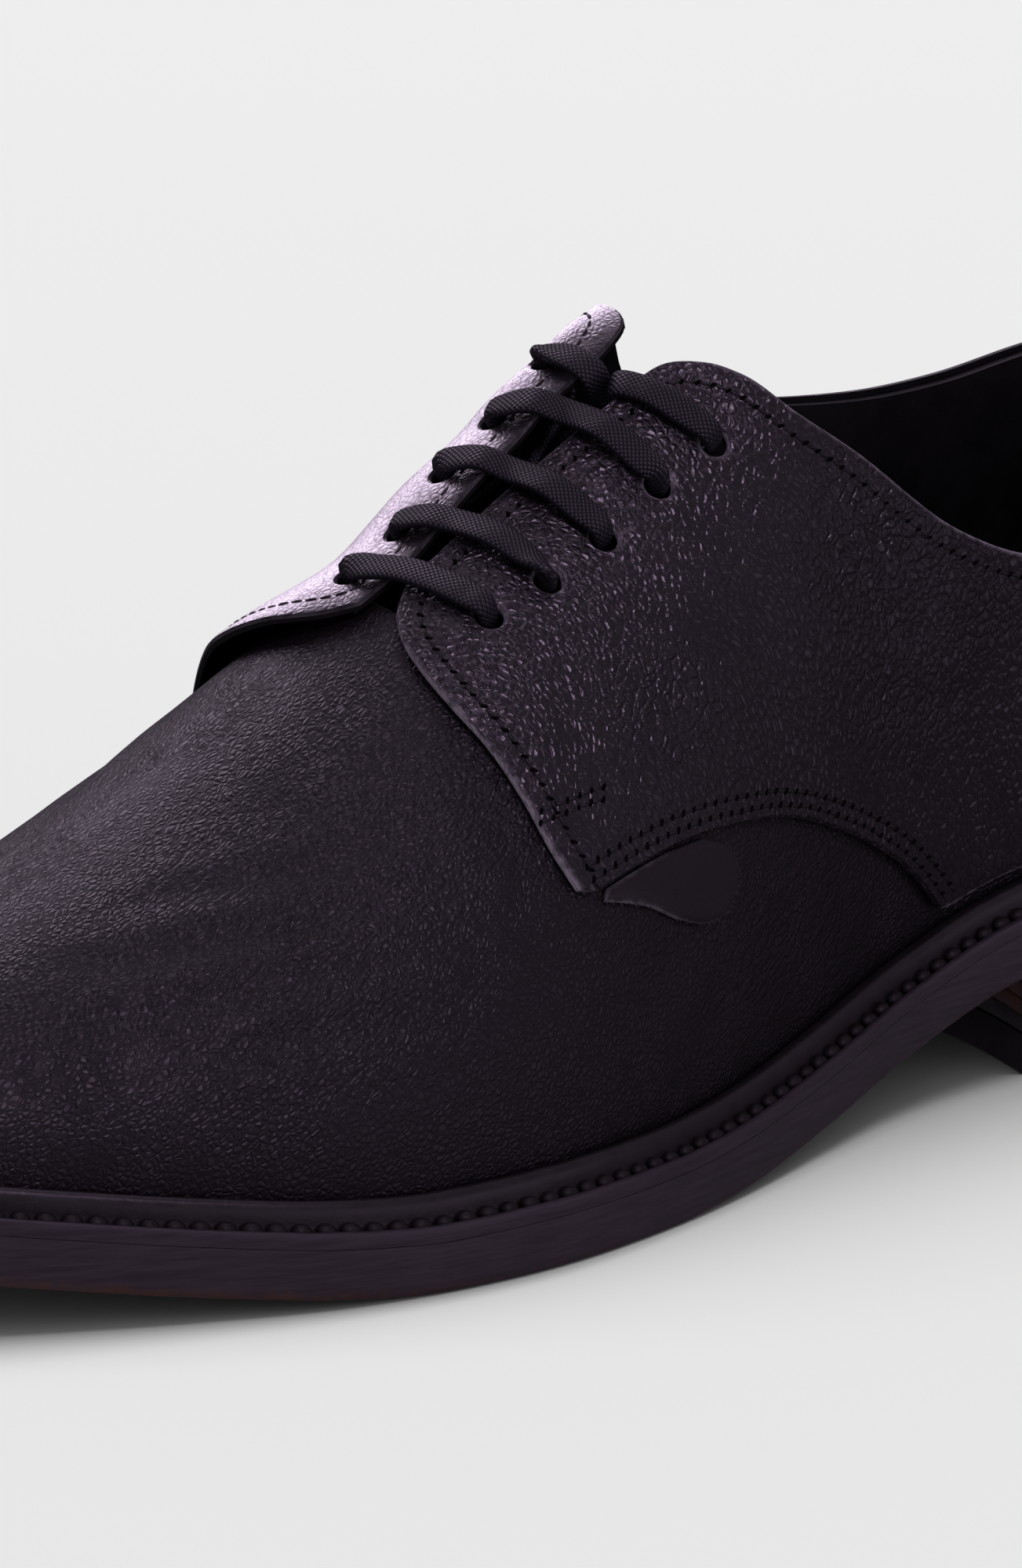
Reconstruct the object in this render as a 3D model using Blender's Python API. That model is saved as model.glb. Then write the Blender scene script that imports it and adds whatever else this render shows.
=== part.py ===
"""Left derby shoe with a storm welt, built around one surface: the form of its last.

Axes: +X to the toe, +Y to the outer (lateral) side, +Z up. The floor is Z = 0 and the
origin lies on it, under the middle of the sole. Sizes are in millimetres until a mesh is
made, where they become metres.

A point on the last is named by its share of the length (0 heel, 1 toe), its height (0 at
the feather line on the sole, 1 on the crest) and its side (+1 lateral, -1 medial).
"""

import math
from collections import namedtuple

import bmesh
import bpy
import numpy as np
from mathutils import Vector
from mathutils.geometry import delaunay_2d_cdt

MM = 0.001

# Driving sizes
LENGTH = 283.0
GAP = 0.35
WELT_GAP = 0.5
OUTSOLE = 6.8
WELT_EDGE = 9.4
BEAD_RISE = 3.4
FEATHER_INSET = 6.3
WALL = 1.4
QUARTER = 1.3
QUARTER_GAP = 0.6
STAY = 0.7
INSOLE = 3.5
TOP_PIECE = 6.0
HEEL_BREAST = 82.0
BREAST_HOLLOW = 5.0
HEEL_TAPER = 1.2
SEAT_INSET = 0.4
FLOOR_ROUND = 0.5
HEEL_SIDE = 15
BREAST = 9
EYELET_RADIUS = 2.5
LACE_WIDTH = 4.0
LACE_THICK = 1.3
LACE_ROUND = 1.7
TONGUE = 1.6
SWEEP_SIDES = 6
LATERAL, MEDIAL = 1, -1

# Plan of the sole (half widths from the axis) and height of its bottom over the floor
Plan = namedtuple("Plan", "share lateral medial bottom")
PLAN = [
    Plan(0.000, 0.0, 0.0, 20.4),
    Plan(0.026, 17.5, 17.0, 20.2),
    Plan(0.077, 28.5, 28.0, 19.9),
    Plan(0.154, 34.0, 33.5, 18.9),
    Plan(0.226, 34.5, 33.0, 17.4),
    Plan(0.298, 33.2, 30.0, 13.8),
    Plan(0.370, 35.6, 28.0, 8.6),
    Plan(0.442, 41.5, 29.5, 4.0),
    Plan(0.514, 48.0, 34.5, 1.0),
    Plan(0.566, 51.8, 39.3, 0.0),
    Plan(0.658, 55.2, 48.0, 0.0),
    Plan(0.720, 53.8, 51.3, 0.0),
    Plan(0.771, 50.3, 52.0, 1.1),
    Plan(0.828, 43.6, 49.5, 3.1),
    Plan(0.884, 35.8, 43.5, 5.4),
    Plan(0.919, 30.4, 37.4, 6.9),
    Plan(0.947, 25.2, 30.8, 8.2),
    Plan(0.972, 18.8, 22.6, 9.2),
    Plan(0.990, 11.6, 13.6, 9.9),
    Plan(1.000, 0.0, 0.0, 10.3),
]

# Sections of the last: where the crest runs, how wide the ankle cone is there, and how the
# wall leaves the feather line (low, bulge) and reaches the crest (over, down, tilt)
Section = namedtuple("Section", "share x y z cone low bulge over_lateral over_medial down tilt")
SECTIONS = [
    Section(0.000, 13.0, 0.0, 108.0, 0.0, 0.36, 0.080, 0.10, 0.10, 0.30, 0.00),
    Section(0.082, 25.0, 0.0, 109.0, 18.0, 0.36, 0.070, 0.10, 0.10, 0.30, 0.00),
    Section(0.206, 56.0, 0.0, 111.0, 26.0, 0.36, 0.045, 0.10, 0.10, 0.30, 0.00),
    Section(0.319, 88.0, 0.0, 113.0, 23.0, 0.36, 0.030, 0.20, 0.24, 0.20, 0.05),
    Section(0.401, 112.0, 1.0, 112.0, 9.0, 0.34, 0.035, 0.45, 0.66, 0.06, 0.30),
    Section(0.463, 131.0, 2.0, 104.0, 0.0, 0.34, 0.045, 0.60, 0.88, 0.00, 0.44),
    Section(0.514, 148.0, 3.2, 93.2, 0.0, 0.33, 0.055, 0.66, 0.90, 0.00, 0.36),
    Section(0.576, 167.5, 4.2, 82.3, 0.0, 0.31, 0.070, 0.68, 0.88, 0.00, 0.20),
    Section(0.668, 190.5, 1.5, 68.8, 0.0, 0.34, 0.085, 0.62, 0.72, 0.00, 0.08),
    Section(0.771, 214.0, -2.0, 55.5, 0.0, 0.40, 0.090, 0.62, 0.58, 0.00, 0.02),
    Section(0.874, 236.0, -3.5, 46.6, 0.0, 0.44, 0.080, 0.64, 0.60, 0.00, 0.00),
    Section(0.950, 248.5, -3.0, 42.2, 0.0, 0.46, 0.070, 0.62, 0.60, 0.00, 0.00),
    Section(1.000, 255.0, -2.0, 39.6, 0.0, 0.48, 0.060, 0.60, 0.60, 0.00, 0.00),
]

# Heights of the collar from the heel seam to the top of the facings
Collar = namedtuple("Collar", "share lateral medial")
COLLAR = [
    Collar(0.000, 0.775, 0.775),
    Collar(0.041, 0.750, 0.775),
    Collar(0.103, 0.665, 0.757),
    Collar(0.165, 0.588, 0.709),
    Collar(0.226, 0.548, 0.686),
    Collar(0.278, 0.541, 0.682),
    Collar(0.324, 0.589, 0.690),
    Collar(0.366, 0.673, 0.694),
    Collar(0.400, 0.758, 0.704),
    Collar(0.422, 0.862, 0.770),
    Collar(0.434, 0.912, 0.872),
    Collar(0.450, 0.952, 0.962),
]

# Front edge of a quarter, from the throat down to its point, then the arc back to the welt.
# The medial quarter reaches further forward.
Edge = namedtuple("Edge", "share height")
FORWARD = {LATERAL: 0.0, MEDIAL: 0.022}
FACING_TOP = {LATERAL: Edge(0.463, 0.955), MEDIAL: Edge(0.463, 0.965)}
FACING_MIDDLE = {LATERAL: Edge(0.520, 0.976), MEDIAL: Edge(0.532, 0.976)}
FACING_THROAT = {LATERAL: Edge(0.588, 0.978), MEDIAL: Edge(0.610, 0.990)}
FACING_FRONT = [
    Edge(0.605, 0.950),
    Edge(0.614, 0.905),
    Edge(0.619, 0.836),
    Edge(0.619, 0.766),
    Edge(0.615, 0.690),
    Edge(0.611, 0.600),
    Edge(0.607, 0.515),
    Edge(0.601, 0.456),
]
QUARTER_ARC = [
    Edge(0.590, 0.442),
    Edge(0.567, 0.442),
    Edge(0.541, 0.433),
    Edge(0.513, 0.410),
    Edge(0.482, 0.370),
    Edge(0.450, 0.327),
    Edge(0.419, 0.280),
    Edge(0.386, 0.224),
    Edge(0.360, 0.168),
    Edge(0.342, 0.112),
    Edge(0.335, 0.085),
]
QUARTER_FOOT = 0.078
BACK_SEAM = 0.004

# Leaf-shaped stay: its free lower edge, from the tip under the quarter point to the seam
STAY_EDGE = [
    Edge(0.586, 0.424),
    Edge(0.560, 0.386),
    Edge(0.539, 0.339),
    Edge(0.516, 0.305),
    Edge(0.501, 0.301),
    Edge(0.493, 0.320),
    Edge(0.493, 0.348),
    Edge(0.498, 0.372),
]

# Eyelets: the lowest and the highest of each row, and where the lace's ends leave the throat
ROWS = 5
TUCK_SHARE = 0.474
Row = namedtuple("Row", "side first last")
EYELETS = [
    Row(LATERAL, Edge(0.576, 0.846), Edge(0.444, 0.782)),
    Row(MEDIAL, Edge(0.598, 0.925), Edge(0.476, 0.885)),
]

# The slit of the upper under the facings, and the tongue inside it
SLIT_END = 0.6015
SLIT_HEIGHT = 0.915
TONGUE_FRONT = 0.658
TONGUE_TOP = 0.457
TONGUE_EDGE = 0.660


def spline(keys, values, at):
    """Cubic curve through the values, with slopes from the neighbours."""
    keys, values, at = (np.asarray(a, float) for a in (keys, values, at))
    step = np.diff(keys)
    rise = np.diff(values) / step
    slope = np.empty_like(values)
    slope[1:-1] = (rise[:-1] * step[1:] + rise[1:] * step[:-1]) / (step[:-1] + step[1:])
    slope[0] = 1.5 * rise[0] - 0.5 * slope[1]
    slope[-1] = 1.5 * rise[-1] - 0.5 * slope[-2]
    i = np.clip(np.searchsorted(keys, at) - 1, 0, len(keys) - 2)
    t = (at - keys[i]) / step[i]
    start = (2 * t**3 - 3 * t**2 + 1) * values[i] + (t**3 - 2 * t**2 + t) * step[i] * slope[i]
    end = (3 * t**2 - 2 * t**3) * values[i + 1] + (t**3 - t**2) * step[i] * slope[i + 1]
    return start + end


def column(table, name):
    return np.array([getattr(row, name) for row in table])


def ease(low, high, at):
    """0 below low, 1 above high, and a smooth step between."""
    t = np.clip((np.asarray(at, float) - low) / (high - low), 0, 1)
    return t * t * (3 - 2 * t)


def turn(share):
    """Share of the length as an angle of 0 to 1, which keeps round ends smooth."""
    return np.arccos(1 - 2 * np.clip(share, 0, 1)) / math.pi


def share_of(angle):
    return (1 - np.cos(math.pi * np.asarray(angle, float))) / 2


PLAN_TURN = turn(column(PLAN, "share"))
SECTION_TURN = turn(column(SECTIONS, "share"))


def bottom(x):
    """Height of the sole's bottom at x from the heel back."""
    shares = np.clip(np.asarray(x, float) / LENGTH, 0, 1)
    return np.maximum(spline(column(PLAN, "share"), column(PLAN, "bottom"), shares), 0)


def outline(angle, side, inset=0.0):
    """Plan points on the sole's edge, moved in by the inset, and the outward directions."""
    angle = np.asarray(angle, float)
    widths = column(PLAN, "lateral" if side > 0 else "medial")

    def edge(a):
        return np.stack([share_of(a) * LENGTH, side * spline(PLAN_TURN, widths, a)], -1)

    along = edge(np.clip(angle + 1e-3, 0, 1)) - edge(np.clip(angle - 1e-3, 0, 1))
    out = np.stack([-along[..., 1], along[..., 0]], -1) * side
    out = np.where((angle < 1e-9)[..., None], (-1.0, 0.0), out)
    out = np.where((angle > 1 - 1e-9)[..., None], (1.0, 0.0), out)
    out = out / np.linalg.norm(out, axis=-1, keepdims=True)
    return edge(angle) - out * inset, out


def sections(angle):
    """All section columns at this angle, by name."""
    found = {}
    for name in Section._fields[1:]:
        found[name] = spline(SECTION_TURN, column(SECTIONS, name), angle)
    return found


def last(angle, height, side):
    """Point on the last. Each section is one cubic from the feather line to the crest."""
    angle, height = np.broadcast_arrays(np.asarray(angle, float), np.asarray(height, float))
    here = sections(angle)
    before = sections(np.clip(angle - 1e-3, 0, 1))
    after = sections(np.clip(angle + 1e-3, 0, 1))
    over = here["over_lateral"] if side > 0 else here["over_medial"]
    plan, out = outline(angle, side, FEATHER_INSET)
    foot_z = bottom(plan[..., 0]) + OUTSOLE + GAP
    tall = here["z"] - foot_z
    foot = np.concatenate([plan, foot_z[..., None]], -1)
    crest_y = here["y"] + side * np.maximum(here["cone"], 0)
    crest = np.stack([here["x"], crest_y, here["z"]], -1)
    reach = (plan - crest[..., :2]) * over[..., None]
    ridge = (after["z"] - before["z"]) / (after["x"] - before["x"])
    fall = ease(0.5, 0.6, angle) * ridge * reach[..., 0] - here["tilt"] * reach[..., 1]
    wall = np.concatenate([out * (here["bulge"] * tall)[..., None], (here["low"] * tall)[..., None]], -1)
    shoulder = np.concatenate([reach, (fall - here["down"] * tall)[..., None]], -1)
    v = height[..., None]
    low_part = (1 - v) ** 3 * foot + 3 * (1 - v) ** 2 * v * (foot + wall)
    return low_part + 3 * (1 - v) * v**2 * (crest + shoulder) + v**3 * crest


def facing_out(angle, height, side):
    """Outward unit direction on the last. On the crest it is the mean of both sides."""
    angle, height = np.broadcast_arrays(np.asarray(angle, float), np.asarray(height, float))

    def one(a, v, s):
        du = last(np.clip(a + 2e-3, 0, 1), v, s) - last(np.clip(a - 2e-3, 0, 1), v, s)
        dv = last(a, np.clip(v + 2e-3, 0, 1), s) - last(a, np.clip(v - 2e-3, 0, 1), s)
        across = np.cross(dv, du) * s
        return across / np.maximum(np.linalg.norm(across, axis=-1, keepdims=True), 1e-12)

    near = one(angle, height, side)
    far = one(angle, height, -side)
    blend = ease(0.985, 1.0, height)[..., None] * 0.5
    mean = near * (1 - blend) + far * blend
    return mean / np.linalg.norm(mean, axis=-1, keepdims=True)


def on_last(share, height, side, rise=0.0):
    """Point at a distance outside the last."""
    angle = turn(np.asarray(share, float))
    rise = np.asarray(rise, float)
    return last(angle, height, side) + facing_out(angle, height, side) * rise[..., None]


def height_at(angle, side, rise):
    """Height on the last that lies this many millimetres above its foot."""
    low = np.zeros_like(angle)
    high = np.full_like(angle, 0.6)
    foot_z = last(angle, low, side)[..., 2]
    for _ in range(30):
        middle = (low + high) / 2
        under = last(angle, middle, side)[..., 2] < foot_z + rise
        low = np.where(under, middle, low)
        high = np.where(under, high, middle)
    return (low + high) / 2


ALL_ROUND = np.linspace(0.0, 1.0, 400)
CENTRE_Y = (outline(ALL_ROUND, LATERAL)[0][:, 1].max() + outline(ALL_ROUND, MEDIAL)[0][:, 1].min()) / 2


# How far a facing stands off: its lower corner over the vamp, its middle, and its top
Lift = namedtuple("Lift", "corner middle top")
LIFTS = {LATERAL: Lift(0.5, 0.0, 0.0), MEDIAL: Lift(2.2, 2.0, 3.6)}
WALL_SPRING = 0.7


def top_lift(side, share, height):
    """Spring of a facing's top, which the wall under it shares."""
    along = ease(0.514, 0.452, share) * ease(0.37, 0.43, share)
    across = ease(0.70, 0.88, height) * (1 - 0.6 * ease(0.86, 0.97, height))
    return LIFTS[side].top * along * across


def facing_lift(side, share, height):
    """Whole lift of a facing, with its lower corner and its middle."""
    corner = ease(0.555, 0.617, share - FORWARD[side]) * ease(0.50, 0.75, height)
    corner = corner * (1 - 0.6 * ease(0.88, 1.0, height))
    middle = ease(0.468, 0.498, share) * ease(0.582, 0.530, share) * ease(0.64, 0.80, height)
    return LIFTS[side].corner * corner + LIFTS[side].middle * middle + top_lift(side, share, height)


def forward(rows, side):
    """The same edge on either side of the shoe."""
    return [Edge(row.share + FORWARD[side], row.height) for row in rows]


def material(name, colour, roughness):
    made = bpy.data.materials.new(name)
    made.use_nodes = True
    shader = made.node_tree.nodes["Principled BSDF"]
    shader.inputs["Base Color"].default_value = (*colour, 1.0)
    shader.inputs["Roughness"].default_value = roughness
    shader.inputs["Metallic"].default_value = 0.0
    return made


def make(name, points, faces, look, parent):
    """One named object from points in millimetres, with the origin under the sole."""
    centred = (np.asarray(points, float) - (LENGTH / 2, CENTRE_Y, 0.0)) * MM
    mesh = bpy.data.meshes.new(name)
    mesh.from_pydata(centred.tolist(), [], [list(map(int, face)) for face in faces])
    shape = bmesh.new()
    shape.from_mesh(mesh)
    bmesh.ops.remove_doubles(shape, verts=shape.verts, dist=0.00001)
    bmesh.ops.recalc_face_normals(shape, faces=shape.faces)
    shape.to_mesh(mesh)
    shape.free()
    mesh.shade_smooth()
    mesh.set_sharp_from_angle(angle=math.radians(35))
    mesh.materials.append(look)
    made = bpy.data.objects.new(name, mesh)
    bpy.context.collection.objects.link(made)
    made.parent = parent
    return made


STATIONS = 34


def ring(inset, rise):
    """Closed loop round the sole: heel, lateral side, toe, medial side."""
    angles = np.linspace(0, 1, STATIONS + 1)
    lateral, _ = outline(angles, LATERAL, inset)
    medial, _ = outline(angles, MEDIAL, inset)
    plan = np.concatenate([lateral, medial[-2:0:-1]])
    return np.column_stack([plan, bottom(plan[:, 0]) + rise])


def walls(loops, size, closed=False):
    """Quads between loops that follow one another."""
    faces = []
    count = len(loops)
    for k in range(count if closed else count - 1):
        a = k * size
        b = (k + 1) % count * size
        for i in range(size):
            j = (i + 1) % size
            faces.append((a + i, a + j, b + j, b + i))
    return faces


def cap(start):
    """Strips from side to side that close a loop round the whole sole."""
    size = 2 * STATIONS
    faces = [(start, start + 1, start + size - 1)]
    for i in range(1, STATIONS - 1):
        faces.append((start + i, start + i + 1, start + size - i - 1, start + size - i))
    last_one = STATIONS - 1
    faces.append((start + last_one, start + STATIONS, start + size - last_one))
    return faces


def plate(loops):
    """Closed solid from loops, bottom to top."""
    size = 2 * STATIONS
    faces = walls(loops, size) + cap(0) + cap((len(loops) - 1) * size)
    return np.concatenate(loops), faces


def outsole():
    return plate([ring(0.9, 0.0), ring(0.25, 0.35), ring(0.0, 1.0), ring(0.0, OUTSOLE)])


def insole():
    inset = FEATHER_INSET + WALL + GAP
    base = OUTSOLE + GAP
    return plate([ring(inset, base), ring(inset, base + INSOLE - 0.8), ring(inset + 0.8, base + INSOLE)])


def welt():
    """Ring on the sole's edge: shelf with a stitch channel, then the raised bead."""
    base = OUTSOLE + GAP
    top = WELT_EDGE + BEAD_RISE
    profile = [
        (0.0, base),
        (0.0, WELT_EDGE - 0.5),
        (0.5, WELT_EDGE),
        (1.2, WELT_EDGE),
        (1.8, WELT_EDGE - 0.5),
        (2.5, WELT_EDGE - 0.4),
        (2.9, WELT_EDGE + 1.6),
        (3.3, top - 0.4),
        (3.9, top),
    ]
    loops = [ring(inset, rise) for inset, rise in profile]
    angles = np.linspace(0, 1, STATIONS + 1)
    for rise in (top - base - 0.5, (top - base) / 2, 0.0):
        sides = []
        for side in (LATERAL, MEDIAL):
            wall = last(angles, height_at(angles, side, np.full_like(angles, rise)), side)
            _, out = outline(angles, side)
            wall[:, :2] += out * WELT_GAP
            sides.append(wall)
        loops.append(np.concatenate([sides[0], sides[1][-2:0:-1]]))
    return np.concatenate(loops), walls(loops, 2 * STATIONS, closed=True)


def heel_loop(inset, height):
    """Heel outline with its hollow breast. The height is a level or follows the sole."""
    angles = np.linspace(0, turn((HEEL_BREAST - inset) / LENGTH), HEEL_SIDE)
    lateral, _ = outline(angles, LATERAL, inset)
    medial, _ = outline(angles, MEDIAL, inset)
    across = np.linspace(0, 1, BREAST + 2)[1:-1, None]
    breast = lateral[-1] * (1 - across) + medial[-1] * across
    breast[:, 0] -= BREAST_HOLLOW * 4 * (across * (1 - across))[:, 0]
    plan = np.concatenate([lateral, breast, medial[:0:-1]])
    z = bottom(plan[:, 0]) + height if height < 0 else np.full(len(plan), height)
    return np.column_stack([plan, z])


def heel_cap(start):
    """Strips across the heel, then one face to the hollow breast."""
    size = 2 * HEEL_SIDE - 1 + BREAST
    strips = HEEL_SIDE - 4
    faces = [(start, start + 1, start + size - 1)]
    for i in range(1, strips):
        faces.append((start + i, start + i + 1, start + size - i - 1, start + size - i))
    faces.append(tuple(range(start + strips, start + size - strips + 1)))
    return faces


def heel_block(loops):
    size = len(loops[0])
    faces = walls(loops, size) + heel_cap(0) + heel_cap((len(loops) - 1) * size)
    return np.concatenate(loops), faces


def heel_top_piece():
    foot = heel_loop(HEEL_TAPER + FLOOR_ROUND, 0.0)
    return heel_block([foot, heel_loop(HEEL_TAPER, FLOOR_ROUND), heel_loop(HEEL_TAPER, TOP_PIECE)])


def heel_lifts():
    return heel_block([heel_loop(HEEL_TAPER, TOP_PIECE + GAP), heel_loop(SEAT_INSET, -GAP)])


def collar_height(share, side):
    """Top of the upper: along the collar, then along the slit, then the closed crest."""
    share = np.asarray(share, float)
    rows = column(COLLAR, "lateral" if side > 0 else "medial")
    along = spline(turn(column(COLLAR, "share")), rows, turn(share)) - 0.010
    along = np.minimum(along, SLIT_HEIGHT)
    along = np.where(share > COLLAR[-2].share, SLIT_HEIGHT, along)
    return np.where(share >= SLIT_END, 1.0, along)


def upper():
    """Hollow shell: both walls as grids that share heel seam, toe and crest."""
    columns, rows = 46, 8
    angles = np.linspace(0, 1, columns + 1)
    nearest = np.argmin(np.abs(angles - turn(SLIT_END)))
    angles[nearest] = turn(SLIT_END)
    points, faces = [], []
    for side in (LATERAL, MEDIAL):
        top = collar_height(share_of(angles), side)
        start = sum(len(p) for p in points)
        grid_h = np.linspace(0, 1, rows + 1)[None, :] * top[:, None]
        grid_a = np.repeat(angles[:, None], rows + 1, axis=1)
        spring = WALL_SPRING * top_lift(side, share_of(grid_a), grid_h)[..., None]
        way = np.where(spring > 0, facing_out(grid_a, grid_h, side), 0.0)
        points.append((last(grid_a, grid_h, side) + way * spring).reshape(-1, 3))
        for i in range(columns):
            for j in range(rows):
                a = start + i * (rows + 1) + j
                quad = (a, a + rows + 1, a + rows + 2, a + 1)
                faces.append(quad[::-1] if side > 0 else quad)
    return shell(np.concatenate(points), faces, -WALL, 0.0)


def shell(points, faces, inner, outer):
    """Closed solid between two distances from a sheet, along the sheet's own normals."""
    sheet = bmesh.new()
    corners = [sheet.verts.new(p) for p in points]
    for face in faces:
        sheet.faces.new([corners[i] for i in face])
    bmesh.ops.remove_doubles(sheet, verts=sheet.verts, dist=0.01)
    sheet.normal_update()
    sheet.verts.index_update()
    spots = np.array([v.co for v in sheet.verts])
    ways = np.array([v.normal for v in sheet.verts])
    kept = [[v.index for v in face.verts] for face in sheet.faces]
    sheet.free()
    return skins(spots + ways * inner, spots + ways * outer, kept)


def skins(inside, outside, faces):
    """Two skins of the same faces, joined along their free edges."""
    count = len(outside)
    made = [tuple(face) for face in faces]
    made += [tuple(i + count for i in face[::-1]) for face in faces]
    directed = set()
    for face in faces:
        for i, j in zip(face, [*face[1:], face[0]]):
            directed.add((i, j))
    for i, j in directed:
        if (j, i) not in directed:
            made.append((j, i, i + count, j + count))
    return np.concatenate([outside, inside]), made


FLAT_U = 340.0
FLAT_V = 85.0


def flat(rows):
    """Edge rows laid out flat, near their true sizes."""
    return np.array([(turn(r.share) * FLAT_U, r.height * FLAT_V) for r in rows])


def smooth(points, step):
    """Points about one step apart on a smooth curve through these points."""
    points = np.asarray(points, float)
    run = np.concatenate([[0], np.cumsum(np.linalg.norm(np.diff(points, axis=0), axis=1))])
    at = np.linspace(0, run[-1], max(2, int(round(run[-1] / step)) + 1))
    return np.column_stack([spline(run, points[:, k], at) for k in range(points.shape[1])])


def straight(start, end, step):
    count = max(2, int(round(math.dist(start, end) / step)) + 1)
    return np.linspace(start, end, count)


def fill(loop, step):
    """Triangles inside a flat loop, with inner points on a grid of this step."""
    low, high = loop.min(axis=0), loop.max(axis=0)
    us = np.arange(low[0] + step / 2, high[0], step)
    vs = np.arange(low[1] + step / 2, high[1], step)
    grid = np.stack(np.meshgrid(us, vs), -1).reshape(-1, 2)
    a, b = loop, np.roll(loop, -1, axis=0)
    inside = np.zeros(len(grid), bool)
    for (x0, y0), (x1, y1) in zip(a, b):
        hit = (y0 > grid[:, 1]) != (y1 > grid[:, 1])
        with np.errstate(divide="ignore", invalid="ignore"):
            cross = (x1 - x0) * (grid[:, 1] - y0) / (y1 - y0) + x0
        inside ^= hit & (grid[:, 0] < cross)
    away = np.linalg.norm(grid[:, None] - loop[None], axis=2).min(axis=1) > 0.6 * step
    points = np.concatenate([loop, grid[inside & away]])
    edges = [(i, (i + 1) % len(loop)) for i in range(len(loop))]
    found = delaunay_2d_cdt([Vector(p) for p in points], edges, [], 1, 1e-4)
    return np.array([tuple(v) for v in found[0]]), [tuple(f) for f in found[2]]


def panel(loop, side, step, inner, outer, lift=0.0):
    """Leather panel cut from the last's own surface between two distances from it."""
    spots, faces = fill(loop, step)
    angle = spots[:, 0] / FLAT_U
    height = spots[:, 1] / FLAT_V
    base = last(angle, height, side)
    way = facing_out(angle, height, side)
    more = lift * facing_lift(side, share_of(angle), height)
    inside = base + way * (inner + more)[:, None]
    outside = base + way * (outer + more)[:, None]
    area = 0.0
    for i, j, k in faces[:40]:
        flat_area = np.cross(outside[j] - outside[i], outside[k] - outside[i])
        area += float(flat_area @ (way[i] + way[j] + way[k]))
    if area < 0:
        faces = [face[::-1] for face in faces]
    return skins(inside, outside, faces)


def quarter_loop(side, step):
    """Flat outline of a quarter with its facing."""
    top_rows = [Edge(r.share, r.lateral if side > 0 else r.medial) for r in COLLAR]
    top_rows[0] = Edge(BACK_SEAM**2, top_rows[0].height)
    back_top = np.array([BACK_SEAM * FLAT_U, top_rows[0].height * FLAT_V])
    back_foot = np.array([BACK_SEAM * FLAT_U, QUARTER_FOOT * FLAT_V])
    collar = smooth(np.vstack([back_top, flat(top_rows[1:])]), step)
    throat = [COLLAR_END[side], FACING_TOP[side], FACING_MIDDLE[side], FACING_THROAT[side]]
    facing = smooth(flat(throat), step)
    front = smooth(flat([FACING_THROAT[side], *forward(FACING_FRONT, side)]), step)
    arc = smooth(flat(forward(QUARTER_ARC, side)), step)
    foot_front = np.array([arc[-1][0] - 1.5, QUARTER_FOOT * FLAT_V])
    foot = straight(foot_front, back_foot, step)
    back = straight(back_foot, back_top, step)
    parts = [collar, facing[1:], front[1:], arc, foot, back[1:-1]]
    return np.concatenate(parts)


COLLAR_END = {
    LATERAL: Edge(COLLAR[-1].share, COLLAR[-1].lateral),
    MEDIAL: Edge(COLLAR[-1].share, COLLAR[-1].medial),
}

def quarter(side):
    return panel(quarter_loop(side, 5.0), side, 6.5, QUARTER_GAP, QUARTER_GAP + QUARTER, lift=1.0)


def stay(side):
    """Leaf below the quarter point, stopping just short of the quarter's arc."""
    lower = smooth(flat(forward(STAY_EDGE, side)), 4.0)
    arc = smooth(flat(forward(QUARTER_ARC[:4], side)), 4.0)[1:]
    upper_edge = arc[::-1] - (0.0, 1.1)
    keep = (upper_edge[:, 0] > lower[-1][0] + 2.0) & (upper_edge[:, 0] < lower[0][0] - 1.0)
    loop = np.concatenate([lower, upper_edge[keep]])
    return panel(loop, side, 5.0, GAP, GAP + STAY)


def tongue():
    """Arched tongue inside the slit, held under the vamp at its front end."""
    columns, rows = 13, 8
    shares = np.linspace(TONGUE_TOP, TONGUE_FRONT, columns + 1)
    across = np.linspace(-1, 1, rows + 1)
    inside, outside, faces = [], [], []
    for share in shares:
        depth = WALL + 2.4 * GAP + 2.6 * float(ease(TONGUE_FRONT - 0.02, SLIT_END - 0.02, share))
        for a in across:
            side = LATERAL if a >= 0 else MEDIAL
            height = 1 - abs(a) * (1 - TONGUE_EDGE)
            base = last(turn(share), height, side)
            way = facing_out(turn(share), height, side)
            outside.append(base - way * depth)
            inside.append(base - way * (depth + TONGUE))
    for i in range(columns):
        for j in range(rows):
            a = i * (rows + 1) + j
            faces.append((a, a + rows + 1, a + rows + 2, a + 1))
    return skins(np.array(inside), np.array(outside), faces)


def eyelet(side, row):
    """Share and height of an eyelet, counted from the throat."""
    found = next(r for r in EYELETS if r.side == side)
    t = row / (ROWS - 1)
    share = found.first.share * (1 - t) + found.last.share * t
    height = found.first.height * (1 - t) + found.last.height * t
    return Edge(share, height)


def across_facings(ends, a, rise, bridge=0.0):
    """Point between two eyelets, lateral and medial: a = 1 lateral, 0 crest, -1 medial.

    A full bar bridges the step up to the medial facing.
    """
    side = LATERAL if a >= 0 else MEDIAL
    share = ends[0].share * (1 + a) / 2 + ends[1].share * (1 - a) / 2
    eye = ends[0] if a >= 0 else ends[1]
    height = 1 - (1 - eye.height) * abs(a)
    more = float(facing_lift(side, share, height))
    if side > 0:
        more += bridge * float(facing_lift(MEDIAL, share, 1.0) * ease(0.7, 0.0, a))
    return on_last(share, height, side, rise + (more if rise > 0 else 0.0))


OVER = QUARTER_GAP + QUARTER + GAP + LACE_THICK / 2 + 1.2
UNDER = -(WALL + GAP + LACE_ROUND / 2)
Stop = namedtuple("Stop", "point width thick")


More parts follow.
